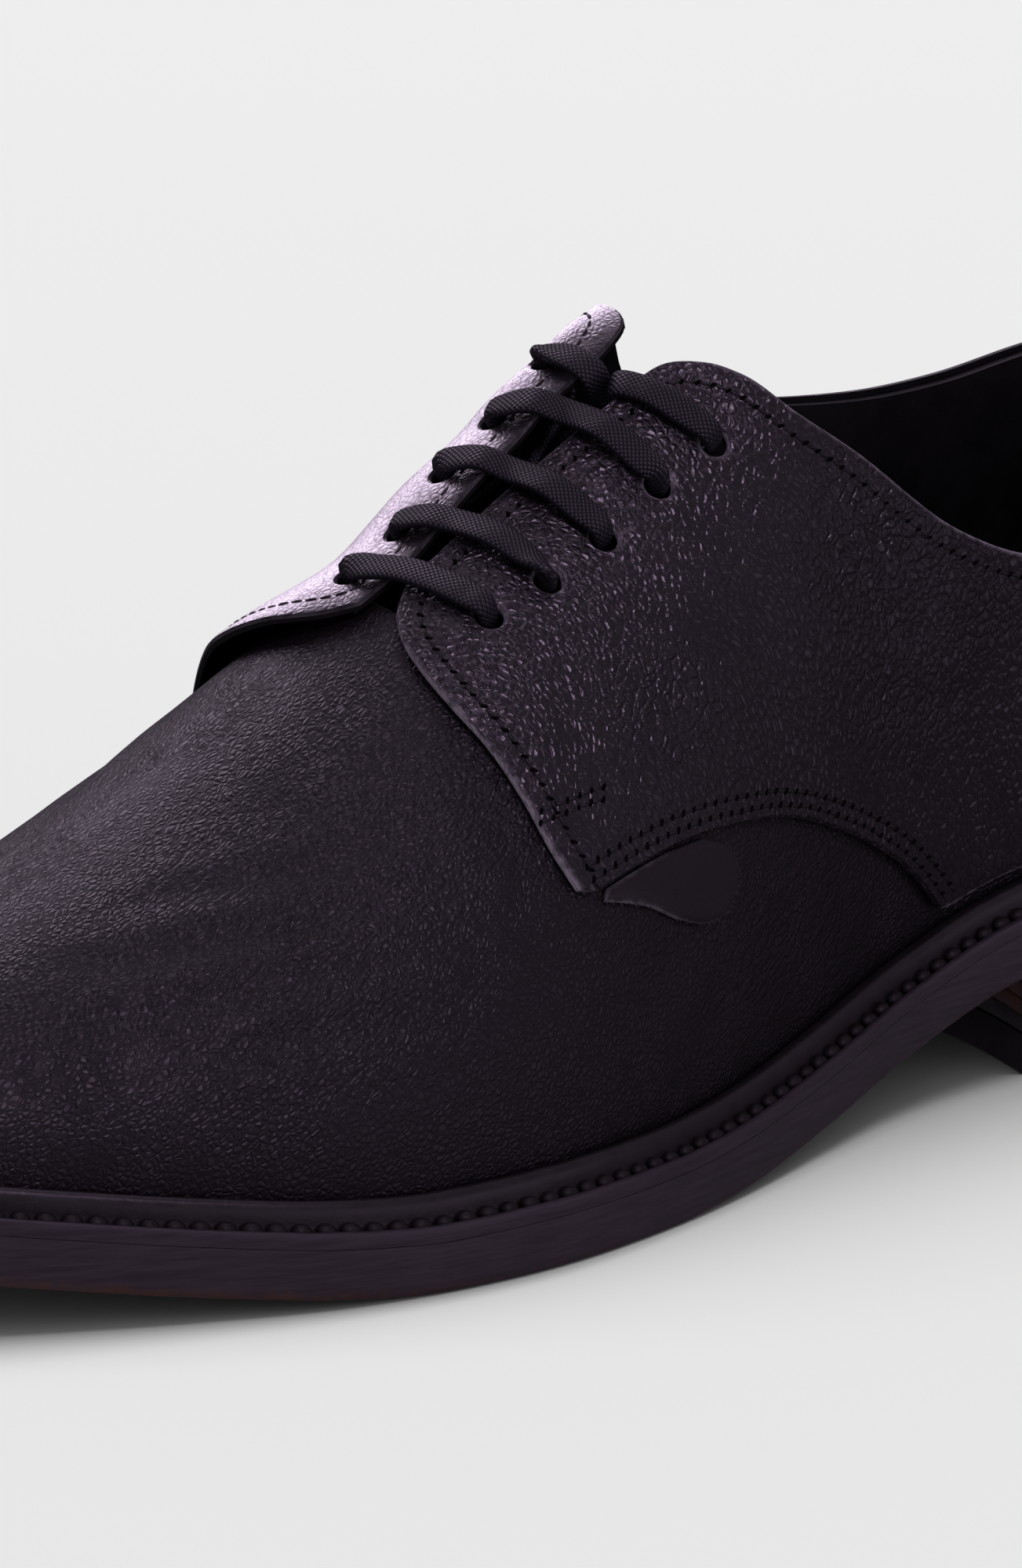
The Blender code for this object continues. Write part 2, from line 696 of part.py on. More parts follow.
def bar(ends, start, end, bridge=1.0):
    """Lace from one eyelet over the facings to the other, up and down through the holes."""
    flat_w, flat_t, round_w = LACE_WIDTH, LACE_THICK, LACE_ROUND
    stops = []
    sign = 1 if start > end else -1
    for a, rise, width, thick in (
        (start, UNDER * 0.85, round_w, round_w * 0.9),
        (start, 0.9, round_w + 0.5, round_w * 0.8),
        (start - 0.05 * sign, OVER - 0.15, flat_w * 0.75, flat_t * 1.1),
        (start - 0.28 * sign, OVER + 0.25, flat_w, flat_t),
        (start - 0.62 * sign, OVER + 0.15, flat_w, flat_t),
    ):
        stops.append(Stop(across_facings(ends, a, rise, bridge), width, thick))
    if end != 0:
        middle = Stop(across_facings(ends, 0.0, OVER + 0.35), flat_w, flat_t)
        back = bar(ends, end, 0)
        return stops + [middle] + back[::-1]
    return stops


def run_under(side, row, to_row):
    """Hidden lace along the inside of a facing, from row to row."""
    stops = []
    for t in (0.26, 0.5, 0.74):
        a, b = eyelet(side, row), eyelet(side, to_row)
        share = a.share * (1 - t) + b.share * t
        height = a.height * (1 - t) + b.height * t
        stops.append(Stop(on_last(share, height, side, UNDER - 0.3), LACE_ROUND, LACE_ROUND * 0.9))
    return stops


def diagonal():
    """Hidden lace from the lowest lateral eyelet to the highest medial one."""
    stops = []
    low, high = eyelet(LATERAL, 0), eyelet(MEDIAL, ROWS - 1)
    for t in (0.08, 0.25, 0.42, 0.58, 0.75, 0.92):
        a = 1 - 2 * t
        side = LATERAL if a >= 0 else MEDIAL
        eye = low if a >= 0 else high
        share = low.share * (1 - t) + high.share * t
        height = 1 - (1 - eye.height) * abs(a)
        stops.append(Stop(on_last(share, height, side, UNDER - 0.4), LACE_ROUND, LACE_ROUND * 0.9))
    return stops


def tucked(side):
    """Lace end that comes up out of the throat and over one facing to its top eyelet."""
    eye = eyelet(side, ROWS - 1)
    mirror = Edge(2 * TUCK_SHARE - eye.share, eye.height)
    ends = (eye, mirror) if side > 0 else (mirror, eye)
    half = bar(ends, float(side), 0, bridge=0.0)[:-1]
    over_edge = Stop(across_facings(ends, 0.34 * side, OVER + 0.25), LACE_WIDTH, LACE_THICK)
    lip = Stop(across_facings(ends, 0.13 * side, OVER - 0.7), LACE_WIDTH, LACE_THICK)
    end = Stop(across_facings(ends, 0.085 * side, -0.6), LACE_WIDTH, LACE_THICK)
    return [end, lip, over_edge] + half[::-1]


def lace():
    """One flat lace: four bars, two tucked ends and the hidden runs between the rows."""
    stops = tucked(LATERAL)
    side = LATERAL
    for row in range(ROWS - 2, -1, -1):
        stops += run_under(side, row + 1, row)
        ends = eyelet(LATERAL, row), eyelet(MEDIAL, row)
        stops += bar(ends, float(side), float(-side))
        side = -side
    stops += diagonal()
    stops += tucked(MEDIAL)[::-1]
    spots = smooth(np.array([(*s.point, s.width, s.thick) for s in stops]), 2.5)
    return sweep(spots[:, :3], spots[:, 3], spots[:, 4])


def sweep(path, widths, thicks):
    """Closed tube with a six-sided flat section that turns as little as it can."""
    ahead = np.gradient(path, axis=0)
    ahead /= np.linalg.norm(ahead, axis=1, keepdims=True)
    wide = np.cross(ahead[0], facing_out(turn(0.44), 1.0, LATERAL))
    wide = np.array([1.0, 0.0, -0.6]) if np.linalg.norm(wide) < 0.3 else wide
    ring_turns = np.arange(SWEEP_SIDES) * 2 * math.pi / SWEEP_SIDES
    points = []
    for spot, way, width, thick in zip(path, ahead, widths, thicks):
        wide = wide - way * (wide @ way)
        wide /= np.linalg.norm(wide)
        deep = np.cross(way, wide)
        for t in ring_turns:
            points.append(spot + wide * math.cos(t) * width * 0.52 + deep * math.sin(t) * thick * 0.56)
    size = SWEEP_SIDES
    loops = [points[i * size : i * size + size] for i in range(len(path))]
    faces = walls(loops, size)
    end = (len(path) - 1) * size
    faces += [tuple(range(size - 1, -1, -1)), tuple(range(end, end + size))]
    return np.array(points), faces


def punch(target, side):
    """Cut the five eyelets of one side through a wall."""
    cutter = bmesh.new()
    for row in range(ROWS):
        eye = eyelet(side, row)
        centre = on_last(eye.share, eye.height, side, top_lift(side, eye.share, eye.height))
        way = Vector(facing_out(turn(eye.share), eye.height, side))
        placed = (centre - (LENGTH / 2, CENTRE_Y, 0.0)) * MM
        made = bmesh.ops.create_cone(
            cutter,
            cap_ends=True,
            segments=12,
            radius1=EYELET_RADIUS * MM,
            radius2=EYELET_RADIUS * MM,
            depth=12 * MM,
        )
        spin = Vector((0, 0, 1)).rotation_difference(way).to_matrix()
        bmesh.ops.rotate(cutter, verts=made["verts"], cent=(0, 0, 0), matrix=spin)
        bmesh.ops.translate(cutter, verts=made["verts"], vec=Vector(placed))
    mesh = bpy.data.meshes.new(f"{target.name}_punch")
    cutter.to_mesh(mesh)
    cutter.free()
    tool = bpy.data.objects.new(mesh.name + ("_l" if side > 0 else "_m"), mesh)
    bpy.context.collection.objects.link(tool)
    tool.hide_render = True
    tool.display_type = "WIRE"
    cut = target.modifiers.new("eyelets_l" if side > 0 else "eyelets_m", "BOOLEAN")
    cut.operation = "DIFFERENCE"
    cut.solver = "EXACT"
    cut.object = tool


def main():
    for old in list(bpy.data.objects):
        bpy.data.objects.remove(old)
    root = bpy.data.objects.new("shoe", None)
    bpy.context.collection.objects.link(root)
    leather = material("plum_black_leather", (0.020, 0.015, 0.021), 0.42)
    smooth_leather = material("smooth_leather", (0.022, 0.017, 0.022), 0.40)
    lining = material("lining", (0.012, 0.011, 0.013), 0.60)
    edge = material("sole_edge", (0.040, 0.026, 0.032), 0.38)
    bead = material("welt", (0.018, 0.013, 0.017), 0.40)
    brown = material("leather_lifts", (0.115, 0.040, 0.026), 0.50)
    rubber = material("rubber", (0.020, 0.016, 0.019), 0.70)
    cord = material("waxed_lace", (0.020, 0.017, 0.026), 0.50)
    make("outsole", *outsole(), edge, root)
    make("welt", *welt(), bead, root)
    make("heel_lifts", *heel_lifts(), brown, root)
    make("heel_top_piece", *heel_top_piece(), rubber, root)
    make("insole", *insole(), lining, root)
    shoe_upper = make("upper", *upper(), leather, root)
    make("tongue", *tongue(), leather, root)
    for side, name in ((LATERAL, "lateral"), (MEDIAL, "medial")):
        overlay = make(f"quarter_{name}", *quarter(side), leather, root)
        punch(overlay, side)
        punch(shoe_upper, side)
        make(f"stay_{name}", *stay(side), smooth_leather, root)
    make("lace", *lace(), cord, root)


main()
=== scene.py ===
"""Looks of a left derby shoe with a storm welt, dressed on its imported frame.

Axes: +X to the toe, +Y to the outer (lateral) side, +Z up, with the floor at Z = 0. Sizes
are in millimetres until a mesh is made, where they become metres. A point on the last is
named by its share of the length (0 heel, 1 toe), its height (0 at the feather line on the
sole, 1 on the crest) and its side.
"""

import logging
import math
from dataclasses import dataclass, field, replace
from enum import Enum, IntEnum
from typing import Any, NamedTuple, Sequence

import bmesh
import bpy
import numpy as np
from mathutils import Matrix, Vector
from mathutils.geometry import delaunay_2d_cdt
from mathutils.kdtree import KDTree

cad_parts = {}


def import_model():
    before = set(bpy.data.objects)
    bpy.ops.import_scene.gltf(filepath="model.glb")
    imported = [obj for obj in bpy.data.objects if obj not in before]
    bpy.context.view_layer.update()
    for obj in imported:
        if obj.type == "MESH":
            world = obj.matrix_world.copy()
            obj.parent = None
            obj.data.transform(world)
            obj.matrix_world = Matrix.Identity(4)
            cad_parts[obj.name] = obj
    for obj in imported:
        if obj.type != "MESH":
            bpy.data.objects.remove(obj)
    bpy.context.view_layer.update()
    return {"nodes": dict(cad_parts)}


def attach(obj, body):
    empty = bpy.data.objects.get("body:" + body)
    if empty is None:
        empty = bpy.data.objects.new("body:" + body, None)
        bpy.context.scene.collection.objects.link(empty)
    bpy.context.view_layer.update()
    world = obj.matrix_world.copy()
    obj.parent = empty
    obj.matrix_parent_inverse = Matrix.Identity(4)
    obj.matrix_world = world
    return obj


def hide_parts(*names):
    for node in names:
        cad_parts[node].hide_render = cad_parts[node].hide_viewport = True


LOG = logging.getLogger("derby")
MM = 0.001
PROBE = 1e-3
SHADER = "ShaderNodeTree"
VECTOR = "NodeSocketVector"
FLOAT = "NodeSocketFloat"
GEOMETRY = "NodeSocketGeometry"
Colour = tuple[float, float, float]


class Side(IntEnum):
    """Side of the shoe, as the sign of Y."""

    LATERAL = 1
    MEDIAL = -1

    @property
    def label(self) -> str:
        """Name of the side in lower case."""
        return self.name.lower()


class Slot(str, Enum):
    """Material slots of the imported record."""

    UPPER = "upper_leather"
    SMOOTH = "smooth_leather"
    INSOLE = "insole_leather"
    WELT = "welt_leather"
    SOLE = "sole_leather"
    LIFT = "lift_leather"
    RUBBER = "heel_rubber"
    LACE = "lace_cord"


class Plan(NamedTuple):
    """Half widths of the sole and height of its bottom at one share of the length."""

    share: float
    lateral: float
    medial: float
    bottom: float


class Section(NamedTuple):
    """One section of the last: its crest, and how the wall leaves the foot and meets it."""

    share: float
    x: float
    y: float
    z: float
    cone: float
    low: float
    bulge: float
    over_lateral: float
    over_medial: float
    down: float
    tilt: float


class Collar(NamedTuple):
    """Height of the collar on both sides at one share of the length."""

    share: float
    lateral: float
    medial: float


class Edge(NamedTuple):
    """Point on one side of the last."""

    share: float
    height: float


class Lift(NamedTuple):
    """How far the parts of a facing stand off, in millimetres."""

    corner: float
    middle: float
    top: float


class Fold(NamedTuple):
    """Crease: its line on the last, its depth and its half width."""

    line: tuple[tuple[float, float], ...]
    depth: float
    width: float


PLAN = [
    Plan(0.000, 0.0, 0.0, 20.4),
    Plan(0.026, 17.5, 17.0, 20.2),
    Plan(0.077, 28.5, 28.0, 19.9),
    Plan(0.154, 34.0, 33.5, 18.9),
    Plan(0.226, 34.5, 33.0, 17.4),
    Plan(0.298, 33.2, 30.0, 13.8),
    Plan(0.370, 35.6, 28.0, 8.6),
    Plan(0.442, 41.5, 29.5, 4.0),
    Plan(0.514, 48.0, 34.5, 1.0),
    Plan(0.566, 51.8, 39.3, 0.0),
    Plan(0.658, 55.2, 48.0, 0.0),
    Plan(0.720, 53.8, 51.3, 0.0),
    Plan(0.771, 50.3, 52.0, 1.1),
    Plan(0.828, 43.6, 49.5, 3.1),
    Plan(0.884, 35.8, 43.5, 5.4),
    Plan(0.919, 30.4, 37.4, 6.9),
    Plan(0.947, 25.2, 30.8, 8.2),
    Plan(0.972, 18.8, 22.6, 9.2),
    Plan(0.990, 11.6, 13.6, 9.9),
    Plan(1.000, 0.0, 0.0, 10.3),
]
SECTIONS = [
    Section(0.000, 13.0, 0.0, 108.0, 0.0, 0.36, 0.080, 0.10, 0.10, 0.30, 0.00),
    Section(0.082, 25.0, 0.0, 109.0, 18.0, 0.36, 0.070, 0.10, 0.10, 0.30, 0.00),
    Section(0.206, 56.0, 0.0, 111.0, 26.0, 0.36, 0.045, 0.10, 0.10, 0.30, 0.00),
    Section(0.319, 88.0, 0.0, 113.0, 23.0, 0.36, 0.030, 0.20, 0.24, 0.20, 0.05),
    Section(0.401, 112.0, 1.0, 112.0, 9.0, 0.34, 0.035, 0.45, 0.66, 0.06, 0.30),
    Section(0.463, 131.0, 2.0, 104.0, 0.0, 0.34, 0.045, 0.60, 0.88, 0.00, 0.44),
    Section(0.514, 148.0, 3.2, 93.2, 0.0, 0.33, 0.055, 0.66, 0.90, 0.00, 0.36),
    Section(0.576, 167.5, 4.2, 82.3, 0.0, 0.31, 0.070, 0.68, 0.88, 0.00, 0.20),
    Section(0.668, 190.5, 1.5, 68.8, 0.0, 0.34, 0.085, 0.62, 0.72, 0.00, 0.08),
    Section(0.771, 214.0, -2.0, 55.5, 0.0, 0.40, 0.090, 0.62, 0.58, 0.00, 0.02),
    Section(0.874, 236.0, -3.5, 46.6, 0.0, 0.44, 0.080, 0.64, 0.60, 0.00, 0.00),
    Section(0.950, 248.5, -3.0, 42.2, 0.0, 0.46, 0.070, 0.62, 0.60, 0.00, 0.00),
    Section(1.000, 255.0, -2.0, 39.6, 0.0, 0.48, 0.060, 0.60, 0.60, 0.00, 0.00),
]
COLLAR = [
    Collar(0.000, 0.775, 0.775),
    Collar(0.041, 0.750, 0.775),
    Collar(0.103, 0.665, 0.757),
    Collar(0.165, 0.588, 0.709),
    Collar(0.226, 0.548, 0.686),
    Collar(0.278, 0.541, 0.682),
    Collar(0.324, 0.589, 0.690),
    Collar(0.366, 0.673, 0.694),
    Collar(0.400, 0.758, 0.704),
    Collar(0.422, 0.862, 0.770),
    Collar(0.434, 0.912, 0.872),
    Collar(0.450, 0.952, 0.962),
]
FORWARD = {Side.LATERAL: 0.0, Side.MEDIAL: 0.022}
LIFTS = {Side.LATERAL: Lift(0.5, 0.0, 0.0), Side.MEDIAL: Lift(2.2, 2.0, 3.6)}
FACING_TOP = {Side.LATERAL: Edge(0.463, 0.955), Side.MEDIAL: Edge(0.463, 0.965)}
FACING_MIDDLE = {Side.LATERAL: Edge(0.520, 0.990), Side.MEDIAL: Edge(0.532, 0.976)}
FACING_THROAT = {Side.LATERAL: Edge(0.588, 0.988), Side.MEDIAL: Edge(0.610, 0.990)}
FACING_FRONT = [
    Edge(0.605, 0.950), Edge(0.614, 0.905), Edge(0.619, 0.836), Edge(0.619, 0.766), Edge(0.615, 0.690),
    Edge(0.611, 0.600), Edge(0.607, 0.515), Edge(0.601, 0.456),
]
QUARTER_ARC = [
    Edge(0.590, 0.442), Edge(0.567, 0.442), Edge(0.541, 0.433), Edge(0.513, 0.410), Edge(0.482, 0.370),
    Edge(0.450, 0.327), Edge(0.419, 0.280), Edge(0.386, 0.224), Edge(0.360, 0.168), Edge(0.342, 0.112),
    Edge(0.335, 0.085),
]
STAY_EDGE = [
    Edge(0.586, 0.424), Edge(0.560, 0.386), Edge(0.539, 0.339), Edge(0.516, 0.305), Edge(0.501, 0.301),
    Edge(0.493, 0.320), Edge(0.493, 0.348), Edge(0.498, 0.372),
]
BAR_TACKS = [
    [Edge(0.606, 0.573), Edge(0.569, 0.550)],
    [Edge(0.609, 0.560), Edge(0.572, 0.537)],
]
EYELETS = {
    Side.LATERAL: (Edge(0.576, 0.846), Edge(0.444, 0.782)),
    Side.MEDIAL: (Edge(0.598, 0.925), Edge(0.476, 0.885)),
}
EYELET_ROWS = 5
SLIT_END = 0.6015
VAMP_FOLDS = {
    Side.LATERAL: [
        Fold(((0.829, 0.81), (0.799, 0.763), (0.761, 0.718), (0.723, 0.672), (0.655, 0.635)), 0.34, 2.2),
        Fold(((0.869, 0.705), (0.831, 0.655), (0.791, 0.645), (0.712, 0.578), (0.634, 0.54)), 0.42, 2.4),
        Fold(((0.864, 0.562), (0.827, 0.535), (0.748, 0.515), (0.708, 0.49), (0.664, 0.47)), 0.36, 2.0),
        Fold(((0.842, 0.438), (0.799, 0.417), (0.751, 0.417), (0.703, 0.39), (0.649, 0.37)), 0.26, 2.2),
        Fold(((0.583, 0.395), (0.565, 0.352), (0.545, 0.305), (0.534, 0.273)), 0.22, 1.4),
        Fold(((0.545, 0.305), (0.520, 0.295), (0.482, 0.247), (0.441, 0.20), (0.400, 0.14)), 0.30, 1.5),
        Fold(((0.534, 0.273), (0.484, 0.215), (0.428, 0.15), (0.374, 0.092)), 0.26, 1.5),
        Fold(((0.490, 0.335), (0.450, 0.275), (0.410, 0.205), (0.375, 0.135)), 0.20, 1.0),
        Fold(((0.505, 0.255), (0.460, 0.205), (0.420, 0.15), (0.385, 0.10)), 0.18, 1.0),
        Fold(((0.550, 0.240), (0.505, 0.190), (0.455, 0.14), (0.410, 0.085)), 0.18, 1.1),
        Fold(((0.622, 0.823), (0.629, 0.755), (0.627, 0.675), (0.623, 0.598), (0.616, 0.46)), 0.40, 3.4),
    ],
    Side.MEDIAL: [
        Fold(((0.790, 0.83), (0.750, 0.76), (0.700, 0.69), (0.662, 0.63)), 0.30, 2.2),
        Fold(((0.800, 0.66), (0.750, 0.58), (0.700, 0.52), (0.655, 0.47)), 0.34, 2.2),
        Fold(((0.560, 0.29), (0.505, 0.23), (0.450, 0.16)), 0.24, 1.5),
    ],
}
QUARTER_FOLDS = {
    Side.LATERAL: [
        Fold(((0.400, 0.70), (0.376, 0.613), (0.355, 0.56), (0.334, 0.48)), 0.22, 1.8),
        Fold(((0.408, 0.64), (0.392, 0.55), (0.370, 0.49), (0.350, 0.43)), 0.26, 1.9),
        Fold(((0.418, 0.465), (0.385, 0.40), (0.345, 0.36), (0.305, 0.36)), 0.22, 2.1),
        Fold(((0.330, 0.53), (0.305, 0.46), (0.285, 0.41)), 0.20, 1.8),
        Fold(((0.560, 0.66), (0.520, 0.60), (0.480, 0.57)), 0.18, 2.4),
    ],
    Side.MEDIAL: [
        Fold(((0.400, 0.66), (0.375, 0.58), (0.345, 0.52)), 0.22, 2.0),
        Fold(((0.420, 0.50), (0.380, 0.44), (0.330, 0.42)), 0.20, 2.2),
    ],
}


def spline(keys: np.ndarray, values: np.ndarray, at: np.ndarray) -> np.ndarray:
    """Cubic curve through the values, with slopes from the neighbours.

    Args:
        keys: Rising places of the values.
        values: Values on the curve.
        at: Places to look up.

    Returns:
        Curve values at these places.
    """
    keys, values, at = (np.asarray(a, float) for a in (keys, values, at))
    step = np.diff(keys)
    rise = np.diff(values) / step
    slope = np.empty_like(values)
    slope[1:-1] = (rise[:-1] * step[1:] + rise[1:] * step[:-1]) / (step[:-1] + step[1:])
    slope[0] = 1.5 * rise[0] - 0.5 * slope[1]
    slope[-1] = 1.5 * rise[-1] - 0.5 * slope[-2]
    i = np.clip(np.searchsorted(keys, at) - 1, 0, len(keys) - 2)
    t = (at - keys[i]) / step[i]
    start = (2 * t**3 - 3 * t**2 + 1) * values[i] + (t**3 - 2 * t**2 + t) * step[i] * slope[i]
    end = (3 * t**2 - 2 * t**3) * values[i + 1] + (t**3 - t**2) * step[i] * slope[i + 1]
    return start + end


def column(table: Sequence[Any], name: str) -> np.ndarray:
    """One column of a table as numbers."""
    return np.array([getattr(row, name) for row in table])


def ease(low: float, high: float, at: np.ndarray) -> np.ndarray:
    """Smooth step from 0 at low to 1 at high."""
    t = np.clip((np.asarray(at, float) - low) / (high - low), 0, 1)
    return t * t * (3 - 2 * t)


def turn(share: np.ndarray) -> np.ndarray:
    """Share of the length as an angle of 0 to 1, which keeps round ends smooth."""
    return np.arccos(1 - 2 * np.clip(share, 0, 1)) / math.pi


def share_of(angle: np.ndarray) -> np.ndarray:
    """Share of the length at an angle of 0 to 1."""
    return (1 - np.cos(math.pi * np.asarray(angle, float))) / 2


def unit(vectors: np.ndarray) -> np.ndarray:
    """Vectors at length 1."""
    return vectors / np.maximum(np.linalg.norm(vectors, axis=-1, keepdims=True), 1e-12)


def put(name: str, data: bpy.types.ID) -> bpy.types.Object:
    """New object in the scene.

    Args:
        name: Name of the object.
        data: Mesh, light or camera.

    Returns:
        The object.
    """
    made = bpy.data.objects.new(name, data)
    bpy.context.scene.collection.objects.link(made)
    return made


def run_along(points: np.ndarray) -> np.ndarray:
    """Length of a path up to each of its points."""
    return np.concatenate([[0], np.cumsum(np.linalg.norm(np.diff(points, axis=0), axis=1))])


def smooth(points: np.ndarray, step: float) -> np.ndarray:
    """Points about one step apart on a smooth curve.

    Args:
        points: Points on the curve.
        step: Distance between the new points.

    Returns:
        The new points, first and last kept.
    """
    points = np.asarray(points, float)
    run = run_along(points)
    at = np.linspace(0, run[-1], max(2, int(round(run[-1] / step)) + 1))
    return np.column_stack([spline(run, points[:, k], at) for k in range(points.shape[1])])


def nearest(spots: np.ndarray, targets: np.ndarray) -> tuple[np.ndarray, np.ndarray]:
    """Distance from each spot to its nearest target, and which target that is.

    Args:
        spots: Points to measure from, with 2 or 3 columns.
        targets: Points to measure to, with the same columns.

    Returns:
        Distances and target numbers.
    """
    pad = ((0, 0), (0, 3 - spots.shape[1]))
    tree = KDTree(len(targets))
    for i, target in enumerate(np.pad(targets, pad)):
        tree.insert(target, i)
    tree.balance()
    found = [tree.find(spot) for spot in np.pad(spots, pad)]
    return np.array([f[2] for f in found]), np.array([f[1] for f in found])


@dataclass(frozen=True)
class Last:
    """Form that the whole shoe is made on."""

    length: float = 283.0
    gap: float = 0.35
    outsole: float = 6.8
    feather: float = 6.3
    wall: float = 1.4
    crest_blend: float = 0.985
    fold_fade: float = 0.7
    bank_rise: float = 0.45
    bank_place: float = 2.1
    work_reach: float = 4.5

    @property
    def centre(self) -> np.ndarray:
        """Point under the middle of the sole, which is the frame's origin.

        Returns:
            The point in millimetres.
        """
        angles = np.linspace(0.0, 1.0, 400)
        high = self.outline(angles, Side.LATERAL)[0][:, 1].max()
        low = self.outline(angles, Side.MEDIAL)[0][:, 1].min()
        return np.array([self.length / 2, (high + low) / 2, 0.0])

    def bottom(self, x: np.ndarray) -> np.ndarray:
        """Height of the sole's bottom at x from the heel back."""
        shares = np.clip(np.asarray(x, float) / self.length, 0, 1)
        return np.maximum(spline(column(PLAN, "share"), column(PLAN, "bottom"), shares), 0)

    def outline(
        self, angle: np.ndarray, side: Side, inset: float = 0.0
    ) -> tuple[np.ndarray, np.ndarray]:
        """Plan points on the sole's edge.

        Args:
            angle: Places along the length.
            side: Side of the shoe.
            inset: Distance that the points move in.

        Returns:
            Plan points, and outward unit directions.
        """
        angle = np.asarray(angle, float)
        keys = turn(column(PLAN, "share"))
        widths = column(PLAN, side.label)

        def edge(a: np.ndarray) -> np.ndarray:
            """Plan points without inset."""
            return np.stack([share_of(a) * self.length, side * spline(keys, widths, a)], -1)

        along = edge(np.clip(angle + PROBE, 0, 1)) - edge(np.clip(angle - PROBE, 0, 1))
        out = np.stack([-along[..., 1], along[..., 0]], -1) * side
        out = np.where((angle < 1e-9)[..., None], (-1.0, 0.0), out)
        out = unit(np.where((angle > 1 - 1e-9)[..., None], (1.0, 0.0), out))
        return edge(angle) - out * inset, out

    def sections(self, angle: np.ndarray) -> dict[str, np.ndarray]:
        """All section columns at this angle, by name."""
        keys = turn(column(SECTIONS, "share"))
        return {name: spline(keys, column(SECTIONS, name), angle) for name in Section._fields[1:]}

    def point(self, angle: np.ndarray, height: np.ndarray, side: Side) -> np.ndarray:
        """Points on the last, where each section is one cubic from foot to crest.

        Args:
            angle: Places along the length.
            height: Heights between feather line and crest.
            side: Side of the shoe.

        Returns:
            Points in millimetres.
        """
        angle, height = np.broadcast_arrays(np.asarray(angle, float), np.asarray(height, float))
        here = self.sections(angle)
        before = self.sections(np.clip(angle - PROBE, 0, 1))
        after = self.sections(np.clip(angle + PROBE, 0, 1))
        over = here[f"over_{side.label}"]
        plan, out = self.outline(angle, side, self.feather)
        foot_z = self.bottom(plan[..., 0]) + self.outsole + self.gap
        tall = here["z"] - foot_z
        foot = np.concatenate([plan, foot_z[..., None]], -1)
        crest_y = here["y"] + side * np.maximum(here["cone"], 0)
        crest = np.stack([here["x"], crest_y, here["z"]], -1)
        reach = (plan - crest[..., :2]) * over[..., None]
        ridge = (after["z"] - before["z"]) / (after["x"] - before["x"])
        fall = ease(0.5, 0.6, angle) * ridge * reach[..., 0] - here["tilt"] * reach[..., 1]
        spread = out * (here["bulge"] * tall)[..., None]
        wall = np.concatenate([spread, (here["low"] * tall)[..., None]], -1)
        shoulder = np.concatenate([reach, (fall - here["down"] * tall)[..., None]], -1)
        v = height[..., None]
        low_part = (1 - v) ** 3 * foot + 3 * (1 - v) ** 2 * v * (foot + wall)
        return low_part + 3 * (1 - v) * v**2 * (crest + shoulder) + v**3 * crest

    def slopes(self, angle: np.ndarray, height: np.ndarray, side: Side) -> tuple[np.ndarray, np.ndarray]:
        """Steps on the last along its length and up its side.

        Args:
            angle: Places along the length.
            height: Heights between feather line and crest.
            side: Side of the shoe.

        Returns:
            Change of the point with angle, and with height.
        """
        low_a, high_a = (np.clip(angle + step, 0, 1) for step in (-2 * PROBE, 2 * PROBE))
        low_v, high_v = (np.clip(height + step, 0, 1) for step in (-2 * PROBE, 2 * PROBE))
        along = self.point(high_a, height, side) - self.point(low_a, height, side)
        up = self.point(angle, high_v, side) - self.point(angle, low_v, side)
        return along / (high_a - low_a)[..., None], up / (high_v - low_v)[..., None]

    def out(self, angle: np.ndarray, height: np.ndarray, side: Side) -> np.ndarray:
        """Outward unit direction, which on the crest is the mean of both sides.

        Args:
            angle: Places along the length.
            height: Heights between feather line and crest.
            side: Side of the shoe.

        Returns:
            Directions.
        """
        angle, height = np.broadcast_arrays(np.asarray(angle, float), np.asarray(height, float))
        near, far = (self.slopes(angle, height, s) for s in (side, Side(-side)))
        blend = ease(self.crest_blend, 1.0, height)[..., None] * 0.5
        one = unit(np.cross(near[1], near[0]) * side)
        other = unit(np.cross(far[1], far[0]) * -side)
        return unit(one * (1 - blend) + other * blend)

    def raised(self, share: float, height: float, side: Side, rise: float = 0.0) -> np.ndarray:
        """Point at a distance outside the last."""
        angle = turn(np.asarray(share, float))
        return self.point(angle, height, side) + self.out(angle, height, side) * rise

    def height_at(self, angle: np.ndarray, side: Side, rise: float) -> np.ndarray:
        """Height on the last that lies this many millimetres above its foot.

        Args:
            angle: Places along the length.
            side: Side of the shoe.
            rise: Distance above the foot.

        Returns:
            Heights between feather line and crest.
        """
        highest, halvings = 0.6, 30
        low, high = np.zeros_like(angle), np.full_like(angle, highest)
        goal = self.point(angle, low, side)[..., 2] + rise
        for _ in range(halvings):
            middle = (low + high) / 2
            under = self.point(angle, middle, side)[..., 2] < goal
            low, high = np.where(under, middle, low), np.where(under, high, middle)
        return (low + high) / 2

    def creased(
        self, spots: np.ndarray, folds: Sequence[Fold], side: Side
    ) -> tuple[np.ndarray, np.ndarray]:
        """Soft troughs with raised banks along the listed folds.

        Args:
            spots: Points near the last.
            folds: Folds on this side.
            side: Side of the shoe.

        Returns:
            Rise of the surface at each spot, and how much the leather works there.
        """
        rise, worked = np.zeros(len(spots)), np.zeros(len(spots))
        for fold in folds:
            line = smooth(np.array([self.raised(s, h, side) for s, h in fold.line]), 1.0)
            away, where = nearest(spots, line)
            away = away / fold.width
            fade = np.sin(math.pi * (where + 0.5) / len(line)) ** self.fold_fade
            bank = self.bank_rise * np.exp(-((away - self.bank_place) ** 2))
            rise += fold.depth * fade * (bank - np.exp(-(away**2)))
            worked = np.maximum(worked, fade * np.exp(-((away / self.work_reach) ** 2)))
        return rise, worked


